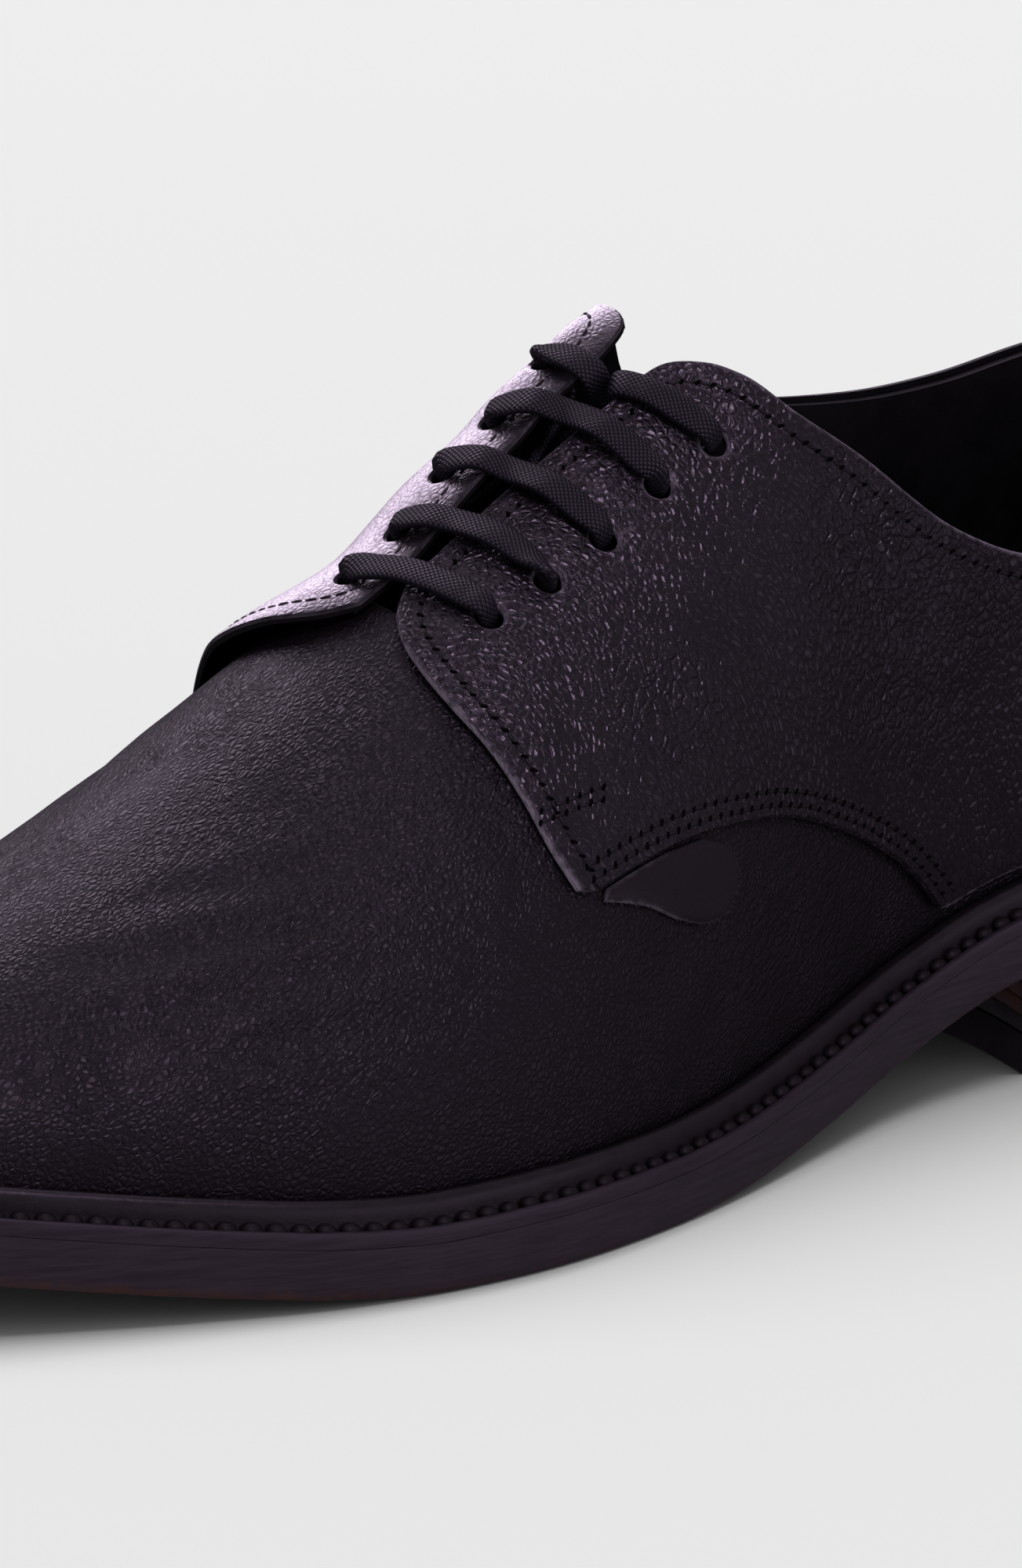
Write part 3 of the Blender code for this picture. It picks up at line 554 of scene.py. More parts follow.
def top_lift(side: Side, share: np.ndarray, height: np.ndarray) -> np.ndarray:
    """Spring of a facing's top, which the wall under it shares.

    Args:
        side: Side of the shoe.
        share: Places along the length.
        height: Heights between feather line and crest.

    Returns:
        Distances in millimetres.
    """
    along = ease(0.514, 0.452, share) * ease(0.37, 0.43, share)
    across = ease(0.70, 0.88, height) * (1 - 0.6 * ease(0.86, 0.97, height))
    return LIFTS[side].top * along * across


def facing_lift(side: Side, share: np.ndarray, height: np.ndarray) -> np.ndarray:
    """Whole lift of a facing, with its lower corner and its middle.

    Args:
        side: Side of the shoe.
        share: Places along the length.
        height: Heights between feather line and crest.

    Returns:
        Distances in millimetres.
    """
    corner = ease(0.555, 0.617, share - FORWARD[side]) * ease(0.50, 0.75, height)
    corner = corner * (1 - 0.6 * ease(0.88, 1.0, height))
    middle = ease(0.468, 0.498, share) * ease(0.582, 0.530, share) * ease(0.64, 0.80, height)
    return LIFTS[side].corner * corner + LIFTS[side].middle * middle + top_lift(side, share, height)


def forward(rows: Sequence[Edge], side: Side) -> list[Edge]:
    """The same edge on either side of the shoe."""
    return [Edge(row.share + FORWARD[side], row.height) for row in rows]


def eyelet(side: Side, row: int) -> Edge:
    """Place of an eyelet, counted from the throat.

    Args:
        side: Side of the shoe.
        row: Number of the row, from 0.

    Returns:
        The place.
    """
    first, final = EYELETS[side]
    t = row / (EYELET_ROWS - 1)
    return Edge(*(a * (1 - t) + b * t for a, b in zip(first, final)))


class Solid(NamedTuple):
    """Mesh in millimetres, with a finish for each face and marks at each point."""

    points: np.ndarray
    faces: list[tuple[int, ...]]
    looks: list[int] | None = None
    marks: dict[str, np.ndarray] = {}
    uv: np.ndarray | None = None


class Cut(NamedTuple):
    """Flat leather shape: points, triangles and each point's distance to the cut edge."""

    spots: np.ndarray
    faces: list[tuple[int, ...]]
    away: np.ndarray


def within(loop: np.ndarray, spots: np.ndarray) -> np.ndarray:
    """Which spots lie inside a flat loop.

    Args:
        loop: Outline.
        spots: Flat points.

    Returns:
        True for each spot inside.
    """
    inside = np.zeros(len(spots), bool)
    for (x0, y0), (x1, y1) in zip(loop, np.roll(loop, -1, axis=0)):
        if y0 != y1:
            hit = (y0 > spots[:, 1]) != (y1 > spots[:, 1])
            inside ^= hit & (spots[:, 0] < (x1 - x0) * (spots[:, 1] - y0) / (y1 - y0) + x0)
    return inside


def skins(inside: np.ndarray, outside: np.ndarray, faces: list[tuple[int, ...]]) -> Solid:
    """Two skins of the same faces, joined along their free edges.

    Args:
        inside: Points of the inner skin.
        outside: Points of the outer skin.
        faces: Faces of the outer skin, turned outward.

    Returns:
        Closed solid with looks 0 outside, 1 inside and 2 on the rim.
    """
    count = len(outside)
    made = [tuple(face) for face in faces]
    made += [tuple(i + count for i in face[::-1]) for face in faces]
    looks = [0] * len(faces) + [1] * len(faces)
    directed = {pair for face in faces for pair in zip(face, [*face[1:], face[0]])}
    for i, j in sorted(directed):
        if (j, i) not in directed:
            made.append((j, i, i + count, j + count))
            looks.append(2)
    return Solid(np.concatenate([outside, inside]), made, looks)


@dataclass(frozen=True)
class Pattern:
    """Lays the last's side out flat, near true size, and cuts shapes from it."""

    last: Last
    side: Side
    unit_u: float = 340.0
    unit_v: float = 85.0

    def lay(self, rows: Sequence[tuple[float, float]]) -> np.ndarray:
        """Shares and heights as flat points."""
        return np.array([(turn(s) * self.unit_u, h * self.unit_v) for s, h in rows])

    def lift_up(self, spots: np.ndarray) -> tuple[np.ndarray, np.ndarray]:
        """Flat points as angles and heights."""
        return np.clip(spots[:, 0] / self.unit_u, 0, 1), np.clip(spots[:, 1] / self.unit_v, 0, 1)

    def moved(self, spots: np.ndarray, ways: np.ndarray) -> np.ndarray:
        """Flat points moved by true distances on the last.

        Args:
            spots: Flat points.
            ways: Moves in millimetres, in the shoe's axes.

        Returns:
            Moved flat points.
        """
        along, up = self.last.slopes(*self.lift_up(spots), self.side)
        aa, uu, au = (np.sum(p * q, -1) for p, q in ((along, along), (up, up), (along, up)))
        wa, wu = np.sum(ways * along, -1), np.sum(ways * up, -1)
        scale = aa * uu - au**2
        steps = np.column_stack([(wa * uu - wu * au) / scale, (wu * aa - wa * au) / scale])
        return spots + steps * (self.unit_u, self.unit_v)

    def inset(self, path: np.ndarray, distance: float) -> np.ndarray:
        """Flat path moved to its right by a true distance on the last.

        Args:
            path: Flat points in order.
            distance: Distance in millimetres.

        Returns:
            Moved flat path.
        """
        angle, height = self.lift_up(path)
        along = unit(np.gradient(self.last.point(angle, height, self.side), axis=0))
        across = unit(np.cross(self.last.out(angle, height, self.side), along))
        flat_along = np.gradient(path, axis=0)
        trial = self.moved(path, across) - path
        sign = np.sign(trial[:, 0] * flat_along[:, 1] - trial[:, 1] * flat_along[:, 0])
        return self.moved(path, across * (sign * distance)[:, None])

    def hole(self, place: Edge, radius: float, count: int = 28) -> np.ndarray:
        """Round hole as a flat loop.

        Args:
            place: Middle of the hole.
            radius: Radius in millimetres.
            count: Number of points.

        Returns:
            Flat points.
        """
        spots = np.repeat(self.lay([place]), count, axis=0)
        angle, height = self.lift_up(spots)
        along = unit(self.last.slopes(angle, height, self.side)[0])
        across = np.cross(self.last.out(angle, height, self.side), along)
        t = np.arange(count)[:, None] * 2 * math.pi / count
        return self.moved(spots, radius * (along * np.cos(t) + across * np.sin(t)))

    def cut(
        self,
        loop: np.ndarray,
        holes: Sequence[np.ndarray],
        step: float,
        rims: Sequence[float],
        extra: np.ndarray | None = None,
    ) -> Cut:
        """Triangles inside a flat loop and outside its holes.

        Args:
            loop: Outline.
            holes: Outlines of holes.
            step: Spacing of the inner points.
            rims: Distances of the extra point rows along every edge.
            extra: More inner points.

        Returns:
            The cut shape.
        """
        edges = [loop, *holes]
        border = np.concatenate(edges)
        low, high = loop.min(axis=0), loop.max(axis=0)
        axes = [np.arange(low[k] + step / 2, high[k], step) for k in (0, 1)]
        grid = np.stack(np.meshgrid(*axes), -1).reshape(-1, 2)
        rows = [(grid, max(rims, default=0.0) + 0.6 * step)]
        for rim in rims:
            for edge in edges:
                ahead = np.roll(edge, -1, axis=0) - np.roll(edge, 1, axis=0)
                normal = unit(np.column_stack([-ahead[:, 1], ahead[:, 0]])) * rim
                rows += [(edge + normal, 0.9 * rim), (edge - normal, 0.9 * rim)]
        if extra is not None:
            rows.insert(0, (extra, max(rims, default=0.0) + 0.3))
        kept: list[np.ndarray] = []
        for points, keep in rows:
            good = within(loop, points)
            for hole in holes:
                good &= ~within(hole, points)
            points = points[good]
            points = points[nearest(points, border)[0] >= keep]
            if extra is not None and len(kept) == 1:
                points = points[nearest(points, kept[0])[0] >= 0.5 * step]
            kept.append(points)
        spots = np.concatenate([border, *kept])
        lines, start = [], 0
        for edge in edges:
            count = len(edge)
            lines += [(start + i, start + (i + 1) % count) for i in range(count)]
            start += count
        found = delaunay_2d_cdt([Vector(p) for p in spots], lines, [], 1, 1e-4)
        spots = np.array([tuple(v) for v in found[0]])
        faces = np.array(found[2])
        centres = spots[faces].mean(axis=1)
        for hole in holes:
            faces = faces[~within(hole, centres)]
            centres = spots[faces].mean(axis=1)
        return Cut(spots, [tuple(map(int, f)) for f in faces], nearest(spots, border)[0])


class Graph:
    """Adds nodes to one tree and joins them."""

    def __init__(self, tree: bpy.types.NodeTree) -> None:
        """Keeps the tree to work on."""
        self.tree = tree

    def add(self, kind: str, values: dict[Any, Any] | None = None, **settings: Any) -> bpy.types.Node:
        """Adds one node.

        Args:
            kind: Node type.
            values: Input values, sockets or nodes by input name or number.
            **settings: Properties of the node.

        Returns:
            The new node.
        """
        node = self.tree.nodes.new(kind)
        for name, value in settings.items():
            setattr(node, name, value)
        for key, value in (values or {}).items():
            if isinstance(value, bpy.types.Node):
                value = value.outputs[0]
            if isinstance(value, bpy.types.NodeSocket):
                self.tree.links.new(value, node.inputs[key])
            else:
                node.inputs[key].default_value = value
        return node

    def join(self, value: bpy.types.NodeSocket, node: bpy.types.Node, name: str) -> None:
        """Leads a value to an input of a node."""
        self.tree.links.new(value, node.inputs[name])

    def maths(self, operation: str, a: Any, b: Any = 0.0) -> bpy.types.NodeSocket:
        """One sum on two values."""
        return self.add("ShaderNodeMath", {0: a, 1: b}, operation=operation).outputs[0]

    def ramp(self, value: Any, low: float, high: float) -> bpy.types.NodeSocket:
        """Smooth step of a value from low to high."""
        values = {"Value": value, "From Min": low, "From Max": high}
        return self.add("ShaderNodeMapRange", values, interpolation_type="SMOOTHSTEP").outputs[0]

    def mix(self, factor: Any, a: Any, b: Any) -> bpy.types.NodeSocket:
        """Colour between a and b."""
        return self.add("ShaderNodeMix", {0: factor, 6: a, 7: b}, data_type="RGBA").outputs[2]

    def mark(self, name: str) -> bpy.types.NodeSocket:
        """Value of a mark that the mesh carries."""
        return self.add("ShaderNodeAttribute", attribute_name=name).outputs["Fac"]

    def place(self) -> bpy.types.NodeSocket:
        """Object coordinates in millimetres.

        Returns:
            The socket.
        """
        spot = self.add("ShaderNodeTexCoord").outputs["Object"]
        scaled = self.add("ShaderNodeVectorMath", {0: spot}, operation="SCALE")
        scaled.inputs["Scale"].default_value = 1 / MM
        return scaled.outputs[0]

    def share(self, tree: bpy.types.NodeTree, values: dict[str, Any]) -> bpy.types.Node:
        """Node of a shared group."""
        return self.add("ShaderNodeGroup", values, node_tree=tree)


def open_group(
    kind: str, name: str, inputs: dict[str, str], outputs: dict[str, str]
) -> tuple[Graph, Any, bpy.types.Node]:
    """Starts a node group.

    Args:
        kind: Type of the tree.
        name: Name of the group.
        inputs: Socket types by input name.
        outputs: Socket types by output name.

    Returns:
        Graph, input sockets by name, and the output node.
    """
    g = Graph(bpy.data.node_groups.new(name, kind))
    for way, sockets in (("INPUT", inputs), ("OUTPUT", outputs)):
        for label, socket in sockets.items():
            g.tree.interface.new_socket(name=label, in_out=way, socket_type=socket)
    return g, g.add("NodeGroupInput").outputs, g.add("NodeGroupOutput")


class Effects:
    """Shader node groups that more than one finish uses. Rates are per millimetre."""

    drift_rate: float = 0.45
    drift: float = 0.9
    pebble_slope: tuple[float, float] = (-0.04, 0.38)
    crack_slope: tuple[float, float] = (0.01, 0.13)
    wrinkle_slope: tuple[float, float] = (0.0, 0.22)
    pore_rate: float = 3.4
    pore_depth: float = 0.30
    patch_rate: float = 0.12
    # Share of the crease troughs in the Valley mask, which the grain leathers darken as painted shade.
    trough_share: float = 0.45

    def __init__(self) -> None:
        """Builds every group."""
        self.grain = self._grain()
        self.mottle = self._mottle()
        self.wear = self._wear()

    def _grain(self) -> bpy.types.NodeTree:
        """Pebbled leather: pebbles, fine pores, and wrinkles where the leather works, with a Valley mask
        of cracks and crease troughs that the finishes darken as painted shade.

        Returns:
            The group.
        """
        kinds = {"Vector": VECTOR, "Fold": VECTOR, "Size": FLOAT, "Work": FLOAT}
        made = {"Height": FLOAT, "Valley": FLOAT, "Tone": FLOAT}
        g, given, end = open_group(SHADER, "leather_grain", kinds, made)
        values = {"Vector": given["Vector"], "Scale": self.drift_rate, "Detail": 1.0}
        drift = g.add("ShaderNodeTexNoise", values)
        push = g.add("ShaderNodeVectorMath", {0: drift.outputs["Color"]}, operation="SCALE")
        push.inputs["Scale"].default_value = self.drift
        spot = g.add("ShaderNodeVectorMath", {0: given["Vector"], 1: push}, operation="ADD")
        bent = g.add("ShaderNodeVectorMath", {0: given["Fold"], 1: push}, operation="ADD")
        rate = g.maths("DIVIDE", 1.0, given["Size"])
        cells, folds = (
            g.add("ShaderNodeTexVoronoi", {"Vector": at, "Scale": scale}, feature="DISTANCE_TO_EDGE")
            for at, scale in ((spot, rate), (bent, 1.0))
        )
        pebble = g.ramp(cells.outputs["Distance"], *self.pebble_slope)
        crack = g.maths("SUBTRACT", 1.0, g.ramp(cells.outputs["Distance"], *self.crack_slope))
        wrinkle = g.ramp(folds.outputs["Distance"], *self.wrinkle_slope)
        quick = g.maths("MULTIPLY", rate, self.pore_rate)
        small = g.add("ShaderNodeTexNoise", {"Vector": spot, "Scale": quick, "Detail": 1.0})
        values = {"Vector": given["Vector"], "Scale": self.patch_rate, "Detail": 1.0}
        tone = g.ramp(g.add("ShaderNodeTexNoise", values).outputs[0], 0.3, 0.7)
        deep = g.maths("MULTIPLY", pebble, g.maths("ADD", g.maths("MULTIPLY", tone, 0.5), 0.55))
        fine = g.maths("MULTIPLY", small.outputs[0], self.pore_depth)
        work = g.maths("MULTIPLY", wrinkle, given["Work"])
        height = g.maths("ADD", g.maths("SUBTRACT", deep, fine), work)
        g.join(height, end, "Height")
        # Valley mask: cracks between pebbles and crease troughs, darkened as painted shade and made
        # rougher.
        trough = g.maths("MULTIPLY", g.maths("SUBTRACT", 1.0, wrinkle), given["Work"])
        valley = g.maths("MAXIMUM", crack, g.maths("MULTIPLY", trough, self.trough_share))
        g.join(valley, end, "Valley")
        g.join(tone, end, "Tone")
        return g.tree

    def _mottle(self) -> bpy.types.NodeTree:
        """Soft uneven tone.

        Returns:
            The group.
        """
        kinds = {"Vector": VECTOR, "Size": FLOAT}
        g, given, end = open_group(SHADER, "uneven_tone", kinds, {"Value": FLOAT})
        rate = g.maths("DIVIDE", 1.0, given["Size"])
        values = {"Vector": given["Vector"], "Scale": rate, "Detail": 6.0, "Roughness": 0.62}
        noise = g.add("ShaderNodeTexNoise", values)
        g.join(g.ramp(noise.outputs[0], 0.28, 0.72), end, "Value")
        return g.tree

    def _wear(self) -> bpy.types.NodeTree:
        """Mask of edges that are rubbed through in places; on the grain leathers it also places a
        painted highlight along the cut edges.

        Returns:
            The group.
        """
        kinds = {"Vector": VECTOR, "Edge": FLOAT}
        g, given, end = open_group(SHADER, "edge_wear", kinds, {"Mask": FLOAT})
        noise = g.add("ShaderNodeTexNoise", {"Vector": given["Vector"], "Scale": 0.6, "Detail": 5.0})
        worn = g.maths("MULTIPLY", given["Edge"], g.ramp(noise.outputs[0], 0.25, 0.75))
        mask = g.maths("ADD", g.maths("MULTIPLY", given["Edge"], 0.55), worn)
        g.join(g.ramp(mask, 0.1, 1.2), end, "Mask")
        return g.tree


class Bench(Graph):
    """Graph of one material, with its shader and the shared groups."""

    def __init__(self, tree: bpy.types.NodeTree, effects: Effects) -> None:
        """Keeps the tree, its shader and the groups."""
        super().__init__(tree)
        self.shader, self.effects = tree.nodes["Principled BSDF"], effects


@dataclass(frozen=True)
class Finish:
    """Plain finish with uneven tone, and what the other finishes start from."""

    name: str
    dark: Colour
    light: Colour
    roughness: float
    specular: float = 0.5
    bump: float = 0.05
    size: float = 6.0
    tint: Colour = (1.0, 0.84, 1.04)
    spread: float = 0.06

    def relief(self, g: Bench, height: Any) -> None:
        """Turns a height of 0 to 1 into bumps of the finish's depth."""
        values = {"Height": height, "Distance": self.bump * MM, "Strength": 1.0}
        g.join(g.add("ShaderNodeBump", values).outputs[0], g.shader, "Normal")

    def rough(self, g: Bench, value: Any) -> None:
        """Lets the roughness vary with a value of 0 to 1.

        Args:
            g: Graph of the material.
            value: Value that it follows.
        """
        low, high = self.roughness - self.spread, self.roughness + self.spread
        node = g.add("ShaderNodeMapRange", {"Value": value, "To Min": low, "To Max": high})
        g.join(node.outputs[0], g.shader, "Roughness")

    def between(self, g: Bench, tone: Any) -> bpy.types.NodeSocket:
        """Colour from dark to light."""
        return g.mix(tone, (*self.dark, 1), (*self.light, 1))

    def build(self, effects: Effects) -> bpy.types.Material:
        """Material of this finish.

        Args:
            effects: Shared shader groups.

        Returns:
            The new material.
        """
        made = bpy.data.materials.new(self.name)
        made.use_nodes = True
        g = Bench(made.node_tree, effects)
        g.shader.inputs["Roughness"].default_value = self.roughness
        g.shader.inputs["Specular IOR Level"].default_value = self.specular
        g.shader.inputs["Specular Tint"].default_value = (*self.tint, 1)
        self.paint(g)
        return made

    def paint(self, g: Bench) -> None:
        """Joins the nodes of the finish to its shader.

        Args:
            g: Graph of the material.
        """
        tone = g.share(g.effects.mottle, {"Vector": g.place(), "Size": self.size}).outputs[0]
        g.join(self.between(g, tone), g.shader, "Base Color")
        self.rough(g, tone)
        self.relief(g, tone)


@dataclass(frozen=True)
class GrainLeather(Finish):
    """Pebbled leather with cut edges lightened by rubbing and by a painted highlight, and painted shade
    in its cracks and crease troughs. The pebbles may be drawn out along one lean.
    """

    # Lighter cut edge: rubbed leather plus a painted highlight where the edge would catch the light.
    edge: Colour = (0.150, 0.122, 0.165)
    # Painted shade in the cracks and crease troughs, partly the leather's own darker cracks.
    valley: Colour = (0.0006, 0.0005, 0.0007)
    spread: float = 0.10
    # How far the painted shade darkens the cracks and troughs.
    cavity: float = 0.5
    pebble: float = 1.0
    draw: float = 1.0
    lean: float = 0.0
    fold: float = 1.5
    fold_draw: float = 3.0
    fold_lean: float = 0.0

    @staticmethod
    def drawn(g: Graph, spot: Any, lean: float, scale: tuple[float, float, float]) -> Any:
        """Coordinates that lean from upright towards the toe and are drawn out.

        Args:
            g: Graph of the material.
            spot: Coordinates in millimetres.
            lean: Angle from upright in degrees.
            scale: Size of one unit along each axis.

        Returns:
            The new coordinates.
        """
        values = {"Vector": spot, "Rotation": (0, math.radians(lean), 0), "Scale": scale}
        return g.add("ShaderNodeMapping", values, vector_type="TEXTURE").outputs[0]

    def paint(self, g: Bench) -> None:
        """Joins the nodes of the finish to its shader.

        Args:
            g: Graph of the material.
        """
        spot = g.place()
        drawn = self.drawn(g, spot, self.lean, (1.0, 1.0, self.draw))
        folds = self.drawn(g, spot, self.fold_lean, (self.fold, self.fold, self.fold * self.fold_draw))
        values = {"Vector": drawn, "Fold": folds, "Size": self.pebble, "Work": g.mark("work")}
        grain = g.share(g.effects.grain, values)
        # Edge colour: rubbed leather and, on the quarters, a painted highlight along the cut edges.
        worn = g.share(g.effects.wear, {"Vector": spot, "Edge": g.mark("edge")}).outputs[0]
        body = self.between(g, grain.outputs["Tone"])
        valley = grain.outputs["Valley"]
        # Darker in the valleys: painted shade, partly the leather's own darker cracks.
        deep = g.mix(g.maths("MULTIPLY", valley, self.cavity), body, (*self.valley, 1))
        g.join(g.mix(worn, deep, (*self.edge, 1)), g.shader, "Base Color")
        self.rough(g, valley)
        self.relief(g, grain.outputs["Height"])


@dataclass(frozen=True)
class StainedLifts(Finish):
    """Stacked leather: red-brown where it shows raw, and stained dark elsewhere."""

    stain: Colour = (0.010, 0.007, 0.007)

    def paint(self, g: Bench) -> None:
        """Joins the nodes of the finish to its shader.

        Args:
            g: Graph of the material.
        """
        spot = g.place()
        streak = g.add("ShaderNodeMapping", {"Vector": spot, "Scale": (1, 1, 9)}).outputs[0]
        tone = g.share(g.effects.mottle, {"Vector": streak, "Size": self.size}).outputs[0]
        raw = self.between(g, tone)
        g.join(g.mix(g.mark("stain"), raw, (*self.stain, 1)), g.shader, "Base Color")
        self.rough(g, tone)
        self.relief(g, tone)


@dataclass(frozen=True)
class StreakedEdge(Finish):
    """Burnished sole edge with fine streaks along it and reddish wear at its foot."""

    rub: Colour = (0.060, 0.026, 0.018)
    spread: float = 0.08

    def paint(self, g: Bench) -> None:
        """Joins the nodes of the finish to its shader.

        Args:
            g: Graph of the material.
        """
        spot = g.place()
        drawn = g.add("ShaderNodeMapping", {"Vector": spot, "Scale": (0.25, 0.25, 3.0)}).outputs[0]
        streak = g.share(g.effects.mottle, {"Vector": drawn, "Size": self.size}).outputs[0]
        body = self.between(g, streak)
        worn = g.share(g.effects.wear, {"Vector": spot, "Edge": g.mark("edge")}).outputs[0]
        g.join(g.mix(worn, body, (*self.rub, 1)), g.shader, "Base Color")
        self.rough(g, streak)
        self.relief(g, streak)


@dataclass(frozen=True)
class WovenCord(Finish):
    """Waxed flat lace with a fine diagonal weave."""

    thread: float = 0.80

    def paint(self, g: Bench) -> None:
        """Joins the nodes of the finish to its shader.

        Args:
            g: Graph of the material.
        """
        run = g.add("ShaderNodeSeparateXYZ", {0: g.add("ShaderNodeTexCoord").outputs["UV"]})
        scale = math.pi / self.thread
        total = g.maths("ADD", run.outputs[0], run.outputs[1])
        gap = g.maths("SUBTRACT", run.outputs[0], run.outputs[1])
        one = g.maths("ABSOLUTE", g.maths("SINE", g.maths("MULTIPLY", total, scale)))
        two = g.maths("ABSOLUTE", g.maths("SINE", g.maths("MULTIPLY", gap, scale)))
        weave = g.maths("POWER", g.maths("MULTIPLY", one, two), 0.5)
        tone = g.share(g.effects.mottle, {"Vector": g.place(), "Size": self.size}).outputs[0]
        # Darker between the threads, following the weave's height: painted shade in the weave's grooves.
        light = g.maths("MULTIPLY", weave, g.maths("ADD", g.maths("MULTIPLY", tone, 0.4), 0.6))
        g.join(self.between(g, light), g.shader, "Base Color")
        self.relief(g, weave)


class Looks:
    """All materials of the shoe, each built once."""

    def __init__(self) -> None:
        """Builds the shared effects and the materials."""
        effects = Effects()
        # Each grain leather paints shade into its cracks and crease troughs, partly the leather's own
        # darker cracks.
        self.vamp = GrainLeather(
            "vamp_leather", (0.0062, 0.0043, 0.0068), (0.0090, 0.0064, 0.0098), roughness=0.43,
            specular=0.40, bump=0.105, cavity=0.7, pebble=0.78, draw=1.4, lean=-55.0, fold=1.5,
            fold_draw=3.6, fold_lean=-62.0,
        ).build(effects)
        # The quarter's pale edge colour is rubbed leather plus a painted highlight along its cut edges.
        quarter = GrainLeather(
            "quarter_leather", (0.0080, 0.0058, 0.0088), (0.0115, 0.0084, 0.0125), roughness=0.33,
            specular=0.48, bump=0.16, cavity=0.65, pebble=1.05, draw=1.7, lean=22.0, fold=1.7,
            fold_draw=1.5, fold_lean=-40.0, edge=(0.230, 0.185, 0.250),
        )
        inner = replace(
            quarter, name="inner_quarter_leather", roughness=0.42, bump=0.05, cavity=0.62,
            pebble=1.0, draw=1.3, edge=(0.05, 0.04, 0.055),
        )
        self.quarters = {Side.LATERAL: quarter.build(effects), Side.MEDIAL: inner.build(effects)}
        self.stay = GrainLeather(
            "stay_leather", (0.0095, 0.0066, 0.0088), (0.0115, 0.0080, 0.0105), roughness=0.42,
            specular=0.40, bump=0.012, cavity=0.04, edge=(0.085, 0.068, 0.090), pebble=0.9,
        ).build(effects)
        # The sole edge's colours are lifted partly to stand in for the floor's reflection: painted
        # reflection.
        self.sole_edge = StreakedEdge(
            "sole_edge", (0.0250, 0.0172, 0.0260), (0.0370, 0.0260, 0.0388), 0.36, 0.48, 0.03, 2.2
        ).build(effects)
        self.lifts = StainedLifts(
            "heel_lift_leather", (0.048, 0.0105, 0.0042), (0.098, 0.0230, 0.0085), 0.45
        ).build(effects)
        self.lace = WovenCord(
            "waxed_lace", (0.0028, 0.0025, 0.0044), (0.0125, 0.0108, 0.0190), 0.40, 0.5, 0.20
        ).build(effects)

        def plain(name: str, dark: Colour, light: Colour, *more: float) -> bpy.types.Material:
            """Material of a plain finish."""
            return Finish(name, dark, light, *more).build(effects)

        dark, light = (0.0030, 0.0026, 0.0034), (0.0052, 0.0045, 0.0058)
        self.lining = plain("lining_leather", dark, light, 0.50, 0.35)
        dark, light = (0.0045, 0.0040, 0.0050), (0.0070, 0.0062, 0.0075)
        self.insole = plain("insole_leather", dark, light, 0.55, 0.35)
        dark, light = (0.0078, 0.0058, 0.0076), (0.0130, 0.0098, 0.0126)
        self.welt = plain("welt_leather", dark, light, 0.36, 0.5, 0.03, 3.0)
        dark, light = (0.020, 0.013, 0.012), (0.034, 0.022, 0.019)
        self.sole_floor = plain("sole_bottom", dark, light, 0.5, 0.4, 0.03, 5.0)
        dark, light = (0.0065, 0.0048, 0.0056), (0.0100, 0.0074, 0.0085)
        self.rubber = plain("top_piece_rubber", dark, light, 0.60, 0.4)
        dark, light = (0.0060, 0.0048, 0.0066), (0.0105, 0.0085, 0.0115)
        self.thread = plain("seam_thread", dark, light, 0.42, 0.4, 0.02, 0.8)
        dark, light = (0.0040, 0.0028, 0.0032), (0.0080, 0.0056, 0.0060)
        self.welt_thread = plain("welt_thread", dark, light, 0.50, 0.35, 0.03, 0.8)
        dark, light = (0.0060, 0.0050, 0.0062), (0.0090, 0.0075, 0.0092)
        self.edge_paint = plain("edge_paint", dark, light, 0.8, 0.12)
        # Near-black bodies in the needle holes: painted shade inside the holes.
        dark, light = (0.0008, 0.0007, 0.0008), (0.0012, 0.0010, 0.0012)
        self.needle = plain("needle_hole", dark, light, 0.9, 0.1)
        dark, light = (0.060, 0.050, 0.068), (0.100, 0.085, 0.110)
        self.fibre = plain("raw_fibre", dark, light, 0.7, 0.2)


class Rows(NamedTuple):
    """Stitch places: points, directions along the row and outward directions."""

    spots: np.ndarray
    along: np.ndarray
    outward: np.ndarray


@dataclass
class Piece:
    """Sub-assembly that is made on the last and dressed in the shoe's finishes."""

    last: Last
    looks: Looks

    def make(
        self, name: str, solid: Solid, finishes: Sequence[bpy.types.Material], crisp: float = 38.0
    ) -> bpy.types.Object:
        """Object from a solid, at the frame's origin.

        Args:
            name: Name of the object.
            solid: Mesh data in millimetres.
            finishes: Materials in the order of the solid's looks.
            crisp: Angle in degrees above which an edge stays sharp.

        Returns:
            The new object.
        """
        mesh = bpy.data.meshes.new(name)
        placed = (np.asarray(solid.points, float) - self.last.centre) * MM
        mesh.from_pydata(placed.tolist(), [], solid.faces)
        for finish in finishes:
            mesh.materials.append(finish)
        if solid.looks is not None:
            mesh.polygons.foreach_set("material_index", solid.looks)
        for label, values in solid.marks.items():
            mark = mesh.attributes.new(label, "FLOAT", "POINT")
            mark.data.foreach_set("value", np.asarray(values, np.float32))
        if solid.uv is not None:
            corner = np.zeros(len(mesh.loops), np.int32)
            mesh.loops.foreach_get("vertex_index", corner)
            uv = solid.uv[corner].astype(np.float32).ravel()
            mesh.uv_layers.new(name="run").data.foreach_set("uv", uv)
        shape = bmesh.new()
        shape.from_mesh(mesh)
        bmesh.ops.recalc_face_normals(shape, faces=shape.faces)
        shape.to_mesh(mesh)
        shape.free()
        mesh.shade_smooth()
        mesh.set_sharp_from_angle(angle=math.radians(crisp))
        return put(name, mesh)

    def hand_over(self, made: bpy.types.Object, slot: Slot, *nodes: str) -> None:
        """Ties a finished object to the frame.

        Args:
            made: The object.
            slot: Material slot of the record; not used.
            *nodes: Names of the CAD nodes that it stands for.
        """
        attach(made, "root")
        if nodes:
            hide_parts(*nodes)
        LOG.info("%s: %d faces", made.name, len(made.data.polygons))


